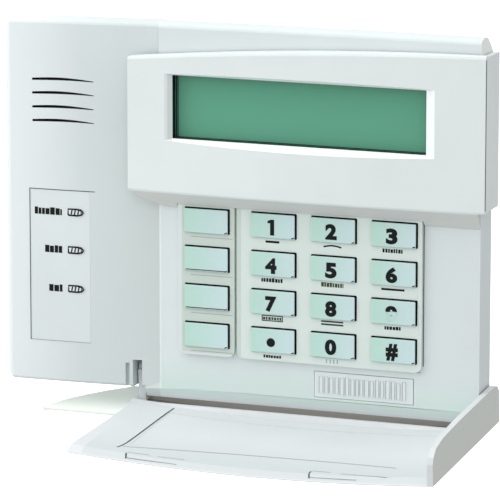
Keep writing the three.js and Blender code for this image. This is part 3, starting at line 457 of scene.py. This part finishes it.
def dress_nodes():
    """Gives each CAD node its material and rounds the edges of those on show."""
    for part in frame["record"]["subparts"]:
        obj = NODES[part["node"]]
        obj.data.materials.clear()
        obj.data.materials.append(MATERIALS[part["material_slot"]])
    for name in ROUNDED_NODES:
        flat = NODES[name].modifiers.new("flatten", "DECIMATE")
        flat.decimate_type = "DISSOLVE"
        flat.angle_limit = math.radians(0.6)
        round_edges(NODES[name], width=0.25, segments=2, angle=28)


dress_nodes()


# ---------------------------------------------------------------- mesh tools
def rounded(x0, x1, z0, z1, radius, steps=5):
    """Rounded rectangle outline in X and Z."""
    corners = ((x1 - radius, z0 + radius, -90), (x1 - radius, z1 - radius, 0),
               (x0 + radius, z1 - radius, 90), (x0 + radius, z0 + radius, 180))
    points = []
    for cx, cz, start in corners:
        for i in range(steps + 1):
            a = math.radians(start + 90 * i / steps)
            points.append((cx + radius * math.cos(a), cz + radius * math.sin(a)))
    return points


def stack(bm, rings, materials):
    """Closed solid through outlines [(points, f), ...] from back to front.

    materials has one index per side band, then the front.
    """
    loops = [[bm.verts.new(place(x, f, z)) for x, z in points] for points, f in rings]
    count = len(loops[0])
    for i in range(len(loops) - 1):
        for j in range(count):
            k = (j + 1) % count
            face = bm.faces.new((loops[i][j], loops[i][k], loops[i + 1][k], loops[i + 1][j]))
            face.material_index = materials[i]
    bm.faces.new(list(reversed(loops[0]))).material_index = materials[0]
    bm.faces.new(loops[-1]).material_index = materials[-1]


def ribbon(bm, points, normal, width, thickness, material=0):
    """Thin raised strip along points, lying on the surface that faces along normal."""
    sections = []
    for i, point in enumerate(points):
        ahead = points[min(i + 1, len(points) - 1)] - points[max(i - 1, 0)]
        side = normal.cross(ahead).normalized() * (width / 2 * MM)
        up = normal * (thickness * MM)
        sections.append([bm.verts.new(point + offset) for offset in (-side, side, side + up, up - side)])
    for a, b in zip(sections, sections[1:]):
        for j in range(4):
            k = (j + 1) % 4
            bm.faces.new((a[j], a[k], b[k], b[j])).material_index = material
    bm.faces.new(list(reversed(sections[0]))).material_index = material
    bm.faces.new(sections[-1]).material_index = material


def add_piece(name, bm, body, materials, replaced=(), bevel=0.0):
    """Adds the mesh as a piece that rides on a body and replaces CAD nodes."""
    bmesh.ops.recalc_face_normals(bm, faces=bm.faces[:])
    mesh = bpy.data.meshes.new(name)
    bm.to_mesh(mesh)
    bm.free()
    for material in materials:
        mesh.materials.append(material)
    obj = bpy.data.objects.new(name, mesh)
    bpy.context.scene.collection.objects.link(obj)
    if bevel:
        round_edges(obj, bevel, segments=3, angle=40)
    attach(obj, body)
    if replaced:
        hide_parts(*replaced)


# ---------------------------------------------------------------- keys
KEY_WIDTH = 16.9
KEY_HEIGHT = 8.8
KEY_TOP_ROW = 69.95
KEY_PITCH = 14.2
KEY_LEFTS = (71, 96.9, 120, 143.1)
KEY_ROWS = (("a", "1", "2", "3"), ("b", "4", "5", "6"), ("c", "7", "8", "9"), ("d", "star", "0", "hash"))
KEY_FRONT = 15.0
PAD_FRONT = 14.2

# Outlines of a key cap from back to front: offset from its place on the drawing at the left and bottom, at
# the right and at the top, corner radius, and depth F.
KEY_OUTLINES = (
    (-0.9, 0.9, 0.9, 0.4, 8.15),
    (-0.9, 0.9, 0.9, 0.4, 10.1),
    (-0.3, -0.22, -0.14, 0.35, 10.1),
    (-0.3, -0.22, -0.14, 0.35, 14.7),
    (-0.26, -0.26, -0.18, 0.35, 14.84),
    (-0.14, -0.38, -0.3, 0.32, 14.95),
    (0.1, -0.62, -0.54, 0.28, KEY_FRONT),
)
KEY_TOP = 0
KEY_WALL = 1
KEY_MARK = 2
# The side bands get the near-black painted shade of the gap around the key.
KEY_BANDS = [KEY_WALL] * 4 + [KEY_TOP] * 3

MARK_HEIGHT = 0.06
DIGIT_HEIGHT = 5.8
DIGIT_WIDTH = 4.4
DIGIT_SHIFT = -0.9
DIGIT_DROP = 2.2
DIGIT_ONE = ((-0.3, -2.9), (1.25, -2.9), (1.25, 2.9), (0.0, 2.9), (-1.3, 2.35), (-1.3, 1.5), (-0.3, 1.6))
HASH_WIDTH = 4.6
HASH_HEIGHT = 6.3
DOT_RADIUS = 1.65
DOT_DROP = 0.8
GLYPH_WEIGHT = 0.056
GLYPH_EXTRUDE = 0.02


def key_places():
    """Tag, left and top of every key."""
    for row, tags in enumerate(KEY_ROWS):
        for tag, left in zip(tags, KEY_LEFTS):
            yield tag, left, KEY_TOP_ROW - KEY_PITCH * row


def glyph(bm, character, centre_x, centre_z, width, height):
    """Adds a bold character on a key's front."""
    curve = bpy.data.curves.new("glyph", "FONT")
    curve.body = character
    curve.offset = GLYPH_WEIGHT
    curve.extrude = GLYPH_EXTRUDE
    curve.resolution_u = 5
    holder = bpy.data.objects.new("glyph", curve)
    bpy.context.scene.collection.objects.link(holder)
    bpy.context.view_layer.update()
    solid = bpy.data.meshes.new_from_object(holder.evaluated_get(bpy.context.evaluated_depsgraph_get()))
    xs = [v.co.x for v in solid.vertices]
    ys = [v.co.y for v in solid.vertices]
    scale_x = width / (max(xs) - min(xs))
    scale_z = height / (max(ys) - min(ys))
    scale_f = MARK_HEIGHT / (2 * GLYPH_EXTRUDE)
    middle_x = (max(xs) + min(xs)) / 2
    middle_y = (max(ys) + min(ys)) / 2
    verts = []
    for v in solid.vertices:
        x = centre_x + (v.co.x - middle_x) * scale_x
        f = KEY_FRONT + MARK_HEIGHT / 2 + v.co.z * scale_f
        z = centre_z + (v.co.y - middle_y) * scale_z
        verts.append(bm.verts.new(place(x, f, z)))
    for poly in solid.polygons:
        bm.faces.new([verts[i] for i in poly.vertices]).material_index = KEY_MARK
    bpy.data.objects.remove(holder)
    bpy.data.curves.remove(curve)
    bpy.data.meshes.remove(solid)


def key_mark(bm, points):
    """Adds a flat outline on a key's front."""
    stack(bm, [(points, KEY_FRONT), (points, KEY_FRONT + MARK_HEIGHT)], [KEY_MARK, KEY_MARK])


def circle(x, z, radius, steps=32):
    turns = [2 * math.pi * i / steps for i in range(steps)]
    return [(x + radius * math.cos(turn), z + radius * math.sin(turn)) for turn in turns]


def build_key(tag, left, top):
    """Key cap that leans on the left and lower side of its opening."""
    bm = bmesh.new()
    right = left + KEY_WIDTH
    bottom = top - KEY_HEIGHT
    rings = []
    for corner, to_right, to_top, radius, f in KEY_OUTLINES:
        rings.append((rounded(left + corner, right + to_right, bottom + corner, top + to_top, radius), f))
    stack(bm, rings, KEY_BANDS)
    x = left + KEY_WIDTH / 2 + DIGIT_SHIFT
    z = top - DIGIT_DROP - DIGIT_HEIGHT / 2
    if tag == "1":
        key_mark(bm, [(x + dx, z + dz) for dx, dz in DIGIT_ONE])
    elif tag == "hash":
        glyph(bm, "#", x + 0.3, z, HASH_WIDTH, HASH_HEIGHT)
    elif tag == "star":
        key_mark(bm, circle(x, bottom + KEY_HEIGHT / 2 - DOT_DROP, DOT_RADIUS))
    elif tag.isdigit():
        glyph(bm, tag, x, z, DIGIT_WIDTH, DIGIT_HEIGHT)
    # Painted shade: a short dark stroke at the key's lower right corner, and on b and c a dark line along
    # the bottom edge.
    foot = [place(right - 1.5, KEY_FRONT, bottom + 0.05), place(right - 0.45, KEY_FRONT, bottom + 0.42)]
    ribbon(bm, foot, FRONT, 0.38, 0.04, KEY_WALL)
    if tag in ("b", "c"):
        edge = [place(left + 0.3, KEY_FRONT, bottom + 0.22), place(right - 0.9, KEY_FRONT, bottom + 0.22)]
        ribbon(bm, edge, FRONT, 0.3, 0.04, KEY_WALL)
    add_piece(f"key_cap_{tag}", bm, f"key_{tag}_button", (MATERIALS["key"], KEY_SIDE_SHADE, BLACK_INK_AND_SHADE),
              replaced=(f"key_{tag}",))


for key_place in key_places():
    build_key(*key_place)


# ---------------------------------------------------------------- prints
# Legend under each key: kind, width, height and ink, one of the four below.
BLACK = 0
DARK = 1
OLIVE = 2
FAINT = 3
LEGENDS = {
    "1": ("bar", 5.3, 0.8, BLACK), "2": ("arc", 6.8, 0.55, BLACK), "3": ("blocks", 8.0, 1.5, BLACK),
    "4": ("blocks", 8.5, 1.5, BLACK), "5": ("blocks", 8.5, 1.7, OLIVE), "6": ("bar", 8.8, 0.75, BLACK),
    "7": ("outline", 8.2, 1.9, DARK), "8": ("double", 8.5, 1.7, DARK), "9": ("blocks", 6.2, 1.3, BLACK),
    "star": ("blocks", 6.8, 1.1, BLACK), "0": ("ticks", 4.7, 1.4, FAINT),
}
LEGEND_DROP = 1.75
LEGEND_SHIFT = 0.3
ARC_STEPS = 12
ARC_RISE = 0.55
chance = random.Random(11)


def level(bm, x0, x1, z, f, height, material, thickness=0.05):
    """Level strip across the front."""
    ribbon(bm, [place(x0, f, z), place(x1, f, z)], FRONT, height, thickness, material)


def upright(bm, x, z0, z1, f, width, material):
    """Upright strip on the front."""
    ribbon(bm, [place(x, f, z0), place(x, f, z1)], FRONT, width, 0.04, material)


def over_pad(_x):
    return PAD_FRONT + LIFT


def over_wing(x):
    return wing_depth(x) + LIFT


def over_label(x):
    return wing_depth(x) - 0.04


def blocks(bm, x0, x1, z, depth_at, height, material, widest=1.0, gap=0.28):
    """Row of small uneven blocks that stands in for a printed word."""
    x = x0
    while x < x1 - 0.3:
        width = min(widest * chance.uniform(0.55, 1.0), x1 - x)
        tall = height * chance.uniform(0.82, 1.0)
        level(bm, x, x + width, z - (height - tall) / 2, depth_at(x + width / 2), tall, material)
        x += width + gap * chance.uniform(0.7, 1.2)


def legend(bm, tag, left, bottom):
    kind, width, height, ink = LEGENDS[tag]
    x0 = left + KEY_WIDTH / 2 + DIGIT_SHIFT - width / 2 + LEGEND_SHIFT
    x1 = x0 + width
    z = bottom - LEGEND_DROP
    f = over_pad(x0)
    if kind == "bar":
        level(bm, x0, x1, z, f, height, ink)
    elif kind == "blocks":
        blocks(bm, x0, x1, z, over_pad, height, ink)
    elif kind == "arc":
        shares = [i / ARC_STEPS for i in range(ARC_STEPS + 1)]
        points = [place(x0 + width * share, f, z + ARC_RISE * math.sin(math.pi * share) - 0.3)
                  for share in shares]
        ribbon(bm, points, FRONT, height, 0.05, ink)
    elif kind == "outline":
        line = 0.35
        for dz in (-height / 2, height / 2):
            level(bm, x0, x1, z + dz, f, line, ink)
        for x in (x0, x1 - line):
            level(bm, x, x + line, z, f, height, ink)
        blocks(bm, x0 + 0.5, x1 - 0.6, z, over_pad, height - 0.7, ink)
    elif kind == "double":
        for dz in (-0.55, 0.55):
            level(bm, x0, x1, z + dz, f, 0.6, ink)
    elif kind == "ticks":
        for i in range(4):
            x = x0 + width * i / 3.4
            level(bm, x, x + 0.45, z, f, height, ink)


def build_legends():
    """Legends under the keys, and a faint line of painted shade under each blank key."""
    bm = bmesh.new()
    for tag, left, top in key_places():
        bottom = top - KEY_HEIGHT
        if tag in LEGENDS:
            legend(bm, tag, left, bottom)
        if tag in ("a", "b", "c", "d"):
            level(bm, left + 2, left + KEY_WIDTH + 1.4, bottom - 1.9, over_pad(left), 0.22, FAINT)
    add_piece("key_legends", bm, "base", (BLACK_INK_AND_SHADE, DARK_INK, OLIVE_INK, FAINT_INK_AND_SHADE))


# Rows on the status overlay: Z and the X where the blocks start. They end at the same X.
STATUS_ROWS = ((65, 11.5), (50.8, 15.5), (36.2, 17.0))
STATUS_BLOCKS_END = 22.2
PIPE_FRONT = 14.66
BULLET = ((24.7, -1.15), (28.4, -1.15), (30.0, -0.75), (30.7, 0), (30.0, 0.75), (28.4, 1.15), (24.7, 1.15),
          (24.7, -1.15))
BULLET_BARS = (25.9, 27.2, 28.5)


def bullet(bm, z):
    """Outlined arrow-like symbol around a light pipe, with slanted bars inside."""
    ribbon(bm, [place(x, PIPE_FRONT, z + dz) for x, dz in BULLET], FRONT, 0.6, 0.04)
    for x in BULLET_BARS:
        ribbon(bm, [place(x, PIPE_FRONT, z - 0.8), place(x + 0.35, PIPE_FRONT, z + 0.8)], FRONT, 0.5, 0.04)


def build_status_print():
    bm = bmesh.new()
    for z, start in STATUS_ROWS:
        blocks(bm, start, STATUS_BLOCKS_END, z, over_label, 2.7, 0, widest=1.9, gap=0.32)
        bullet(bm, z)
    add_piece("status_print", bm, "base", (BLACK_INK_AND_SHADE,))


# ---------------------------------------------------------------- seams and borders
HARD = 0
SOFT = 1
RIGHT_SIDE = Vector((1, 0, 0))
SCREEN_LEFT = 67.1
SCREEN_RIGHT = 164.1
SCREEN_BOTTOM = 95.7
SCREEN_TOP = 119.0
SCREEN_FRONT = 13.6
HOUSING_FRONT = 12.6


def across_wing(bm, x0, x1, z, width, material, steps=8):
    """Level strip that follows the wing's curve."""
    xs = [x0 + (x1 - x0) * i / steps for i in range(steps + 1)]
    ribbon(bm, [place(x, over_wing(x), z) for x in xs], FRONT, width, 0.03, material)


def build_status_border():
    bm = bmesh.new()
    upright(bm, 9.6, 16.0, 73.2, over_wing(9.6), 0.28, HARD)
    across_wing(bm, 9.5, 35.2, 73.1, 0.28, HARD)
    across_wing(bm, 9.5, 33.2, 16.1, 0.22, SOFT)
    add_piece("status_border", bm, "base", (SEAM, SOFT_SEAM_SHADOW))


def build_screen_border():
    """Painted shade: a dark rim around the screen, with a green shade beside its left end."""
    bm = bmesh.new()
    f = SCREEN_FRONT + LIFT
    level(bm, SCREEN_LEFT, SCREEN_RIGHT, SCREEN_TOP - 0.35, f, 0.7, 0)
    level(bm, SCREEN_LEFT, SCREEN_RIGHT, SCREEN_BOTTOM + 0.12, f, 0.24, 0)
    upright(bm, SCREEN_LEFT + 0.2, SCREEN_BOTTOM, SCREEN_TOP, f, 0.4, 0)
    upright(bm, SCREEN_LEFT + 0.75, SCREEN_BOTTOM, SCREEN_TOP, f, 0.7, 1)
    upright(bm, SCREEN_RIGHT - 0.3, SCREEN_BOTTOM, SCREEN_TOP, f, 0.6, 0)
    add_piece("screen_border", bm, "base", (BLACK_INK_AND_SHADE, SCREEN_SHADE_GREEN))


def build_head_side_seam():
    bm = bmesh.new()
    x = HEAD_MIDDLE + HEAD_HALF + LIFT
    ribbon(bm, [place(x, 16.1, 76.6), place(x, 16.1, 130.9)], RIGHT_SIDE, 0.7, 0.03, HARD)
    add_piece("head_side_seam", bm, "base", (SEAM,))


def build_pad_seams():
    """Edges of the raised key fields on the housing, drawn as lines of painted shade."""
    bm = bmesh.new()
    f = HOUSING_FRONT + LIFT
    upright(bm, 162.15, 17.4, 70.0, f, 0.3, HARD)
    level(bm, 93, 161, 15.0, f, 0.25, SOFT)
    level(bm, 70, 88, 15.0, f, 0.25, SOFT)
    add_piece("pad_seams", bm, "base", (SEAM, SOFT_SEAM_SHADOW))


# ---------------------------------------------------------------- ribbed patch
PATCH_LEFT = 120.6
PATCH_RIGHT = 158.4
PATCH_BOTTOM = 2.9
PATCH_TOP = 12.3
PATCH_BACK = 12.3
PATCH_FACE = 12.72
RIB_HEIGHT = 0.34
RIB_ROOT = 0.1


def build_patch():
    """Small plate with uneven upright ribs, each with a soft shadow on its left."""
    bm = bmesh.new()
    slab = rounded(PATCH_LEFT, PATCH_RIGHT, PATCH_BOTTOM, PATCH_TOP, 0.25, 2)
    stack(bm, [(slab, PATCH_BACK), (slab, PATCH_FACE)], [0, 0])
    x = PATCH_LEFT + 2.0
    while x < PATCH_RIGHT - 2.4:
        width = chance.uniform(0.75, 1.35)
        low = PATCH_BOTTOM + 1.2 + chance.uniform(0, 0.5)
        high = PATCH_TOP - 1.3 - chance.uniform(0, 0.7)
        rib = rounded(x, x + width, low, high, 0.2, 2)
        stack(bm, [(rib, PATCH_FACE - RIB_ROOT), (rib, PATCH_FACE + RIB_HEIGHT)], [0, 0])
        level(bm, x - 0.3, x, (low + high) / 2, PATCH_FACE, high - low, 1, 0.1)
        x += width + chance.uniform(0.75, 1.15)
    add_piece("ribbed_grip", bm, "base", (MATERIALS["label"], SOFT_SEAM_SHADOW), replaced=("ribbed_patch",))


# ---------------------------------------------------------------- door lines
DOOR_IN = (folded(0, 0, 0) - folded(0, 1, 0)).normalized()
DOOR_OUTWARD = (folded(0, 0, 1) - folded(0, 0, 0)).normalized()
BEVEL_FOOT_Z = 72.72
BEVEL_DEPTH = 1.9
BEVEL_RISE = 2.58
CARD_LEFT = 67.4
CARD_RIGHT = 180.6
CARD_BOTTOM = 24.5
CARD_TOP = 63.6
CARD_THICKNESS = 0.64
CARD_GAP = 0.06
CARD_STEPS = 24

# X and Z on the closed door of the crease beside the card.
FOLD_LINE = ((67.1, 19.2), (66.7, 25.4), (66.3, 40), (65.9, 55), (65.6, 61.5), (65.1, 65), (64.2, 67.4))
# Catches on the free edge: X, lower Z and the X where the long line ends.
CATCHES = ((69.5, 71.8, 89.6), (138.9, 70.2, 157.2))
# Short lines beside them: X and Z at both ends.
FINE_LINES = ((81.3, 71.0, 91.3, 70.6), (138.9, 69.5, 146.2, 69.9), (150.4, 70.8, 168, 72.4),
              (69.8, 70.9, 78, 70.6))


def inner_face(x, z):
    """Point just over the door's inner face."""
    return folded(x, front_bow(x) - DOOR_THICKNESS - LIFT, z)


def bevel_face(x, share):
    """Point on the slope along the door's free edge, from 0 at the inner face to 1 at the outer."""
    f = front_bow(x) - DOOR_THICKNESS + 2 * LIFT + BEVEL_DEPTH * share
    return folded(x, f, BEVEL_FOOT_Z + BEVEL_RISE * share)


def ridge(x):
    """Height of the soft line that bows across the tray near its free edge."""
    t = (x - 126) / 60
    return 58.3 + 7.5 * t * t


def build_card():
    """Card that fills its recess in the door flush with the face around it."""
    bm = bmesh.new()
    first = CARD_LEFT + CARD_GAP
    step = (CARD_RIGHT - CARD_LEFT - 2 * CARD_GAP) / CARD_STEPS
    low = CARD_BOTTOM + CARD_GAP
    high = CARD_TOP - CARD_GAP
    sections = []
    for i in range(CARD_STEPS + 1):
        x = first + step * i
        face = front_bow(x) - DOOR_THICKNESS + 2 * LIFT
        back = face + CARD_THICKNESS
        corners = ((back, low), (back, high), (face, high), (face, low))
        sections.append([bm.verts.new(folded(x, f, z)) for f, z in corners])
    for a, b in zip(sections, sections[1:]):
        for j in range(4):
            k = (j + 1) % 4
            bm.faces.new((a[j], a[k], b[k], b[j]))
    bm.faces.new(list(reversed(sections[0])))
    bm.faces.new(sections[-1])
    add_piece("tray_card", bm, "door_leaf", (MATERIALS["door"],), replaced=("door_card",),
              bevel=0.04)


def build_door_lines():
    """Painted shade lines along the crease beside the card and the soft ridge, and dark lines for the two
    catches on the free edge.
    """
    bm = bmesh.new()
    ribbon(bm, [inner_face(x, z) for x, z in FOLD_LINE], DOOR_IN, 0.6, 0.05, HARD)
    ribbon(bm, [inner_face(x, ridge(x)) for x in range(66, 172, 6)], DOOR_IN, 0.5, 0.04, SOFT)
    for x, low, end_x in CATCHES:
        ribbon(bm, [inner_face(x, low), inner_face(x + 0.3, 72.6)], DOOR_IN, 0.5, 0.05, HARD)
        ribbon(bm, [bevel_face(x + 0.3, 0.02), bevel_face(x + 0.8, 0.6)], DOOR_IN, 0.5, 0.06, HARD)
        ribbon(bm, [bevel_face(x + 1, 0.5), bevel_face(end_x, 0.48)], DOOR_OUTWARD, 0.3, 0.06, SOFT)
    for x0, z0, x1, z1 in FINE_LINES:
        ribbon(bm, [inner_face(x0, z0), inner_face(x1, z1)], DOOR_IN, 0.4, 0.04, SOFT)
    add_piece("door_lines", bm, "door_leaf", (SEAM, SOFT_SEAM_SHADOW))


# The legends, status print and patch draw from the same random row, in this order.
build_legends()
build_status_print()
build_status_border()
build_screen_border()
build_head_side_seam()
build_pad_seams()
build_patch()
build_card()
build_door_lines()


# ---------------------------------------------------------------- stage
FLOOR_LEVEL = -0.155
FLOOR_HALF = 6.0
# Camera direction, in degrees to the right of the panel's front and above it, and distance in metres.
CAMERA_AZIMUTH = 20.66
CAMERA_ELEVATION = 11.16
CAMERA_DISTANCE = 1.657
CAMERA_TARGET = Vector((0.0015, -0.017, -0.0325))
CAMERA_LENS = 328.2
CAMERA_SHIFT = (0.01152, -0.06656)
# Name, location, target, size and power of each light.
LIGHTS = (
    ("top_softbox", (-0.0915, -0.255, 0.8), (0, 0, -0.05), (0.9, 0.7), 2.6),
    ("left_softbox", (-0.62, -0.3, 0.12), (-0.02, 0, -0.03), (0.4, 0.5), 1.2),
    ("front_fill", (0.41, -1.3, 0.3), (0, 0, -0.04), (0.8, 0.8), 0.7),
)
GLOW_LEFT = 0.76
GLOW_RIGHT = 0.48
GLOW_ABOVE = 1.58
GLOW_BELOW = 0.85


def add_object(name, data, location, direction):
    """Adds a light or camera that looks along direction."""
    obj = bpy.data.objects.new(name, data)
    bpy.context.scene.collection.objects.link(obj)
    obj.location = location
    obj.rotation_mode = "QUATERNION"
    obj.rotation_quaternion = direction.to_track_quat("-Z", "Y")
    return obj


def add_light(name, location, target, size, power):
    data = bpy.data.lights.new(name, "AREA")
    data.shape = "RECTANGLE"
    data.size, data.size_y = size
    data.energy = power
    add_object(name, data, location, Vector(target) - Vector(location))


def add_floor():
    """Paper that is plain white to the camera and pale grey to everything else."""
    mesh = bpy.data.meshes.new("floor")
    corners = ((-1, -1), (1, -1), (1, 1), (-1, 1))
    points = [(x * FLOOR_HALF, y * FLOOR_HALF, FLOOR_LEVEL) for x, y in corners]
    mesh.from_pydata(points, [], [(0, 1, 2, 3)])
    floor = bpy.data.objects.new("floor", mesh)
    bpy.context.scene.collection.objects.link(floor)
    g = Graph("floor_paper")
    seen = g.node("ShaderNodeLightPath").outputs["Is Camera Ray"]
    paper = g.mix(g.noise(6), srgb(250, 250, 250), srgb(255, 255, 255))
    g.surface("Base Color", g.mix(seen, srgb(196, 198, 198), paper))
    g.surface("Emission Color", (1, 1, 1, 1))
    g.surface("Emission Strength", g.math("MULTIPLY", seen, 0.75))
    g.surface("Roughness", 0.9)
    g.bump(g.noise(200), 0.02, 0.2 * MM)
    mesh.materials.append(g.mat)


def add_camera():
    """Long lens, to the right of the panel and above it."""
    azimuth = math.radians(CAMERA_AZIMUTH)
    elevation = math.radians(CAMERA_ELEVATION)
    back = Vector((math.sin(azimuth) * math.cos(elevation), -math.cos(azimuth) * math.cos(elevation),
                   math.sin(elevation)))
    data = bpy.data.cameras.new("camera")
    data.lens = CAMERA_LENS
    data.sensor_width = 36
    data.shift_x, data.shift_y = CAMERA_SHIFT
    data.clip_start = 0.05
    data.clip_end = 50
    bpy.context.scene.camera = add_object("camera", data, CAMERA_TARGET + back * CAMERA_DISTANCE, -back)


def add_world():
    """Soft surroundings: brighter to the left and above; plain white where the camera sees them."""
    world = bpy.data.worlds.new("studio")
    world.use_nodes = True
    g = Nodes(world.node_tree)
    background = world.node_tree.nodes["Background"]
    x, _y, z = g.split(g.node("ShaderNodeTexCoord").outputs["Generated"])
    glow = g.product(g.remap(x, GLOW_LEFT, GLOW_RIGHT, -1), g.remap(z, GLOW_BELOW, GLOW_ABOVE, -1))
    seen = g.node("ShaderNodeLightPath").outputs["Is Camera Ray"]
    g.feed((1, 1, 1, 1), background.inputs["Color"])
    g.feed(g.math("MAXIMUM", glow, seen), background.inputs["Strength"])
    bpy.context.scene.world = world


add_floor()
add_world()
for light in LIGHTS:
    add_light(*light)
add_camera()
bpy.context.scene.view_settings.view_transform = "Standard"
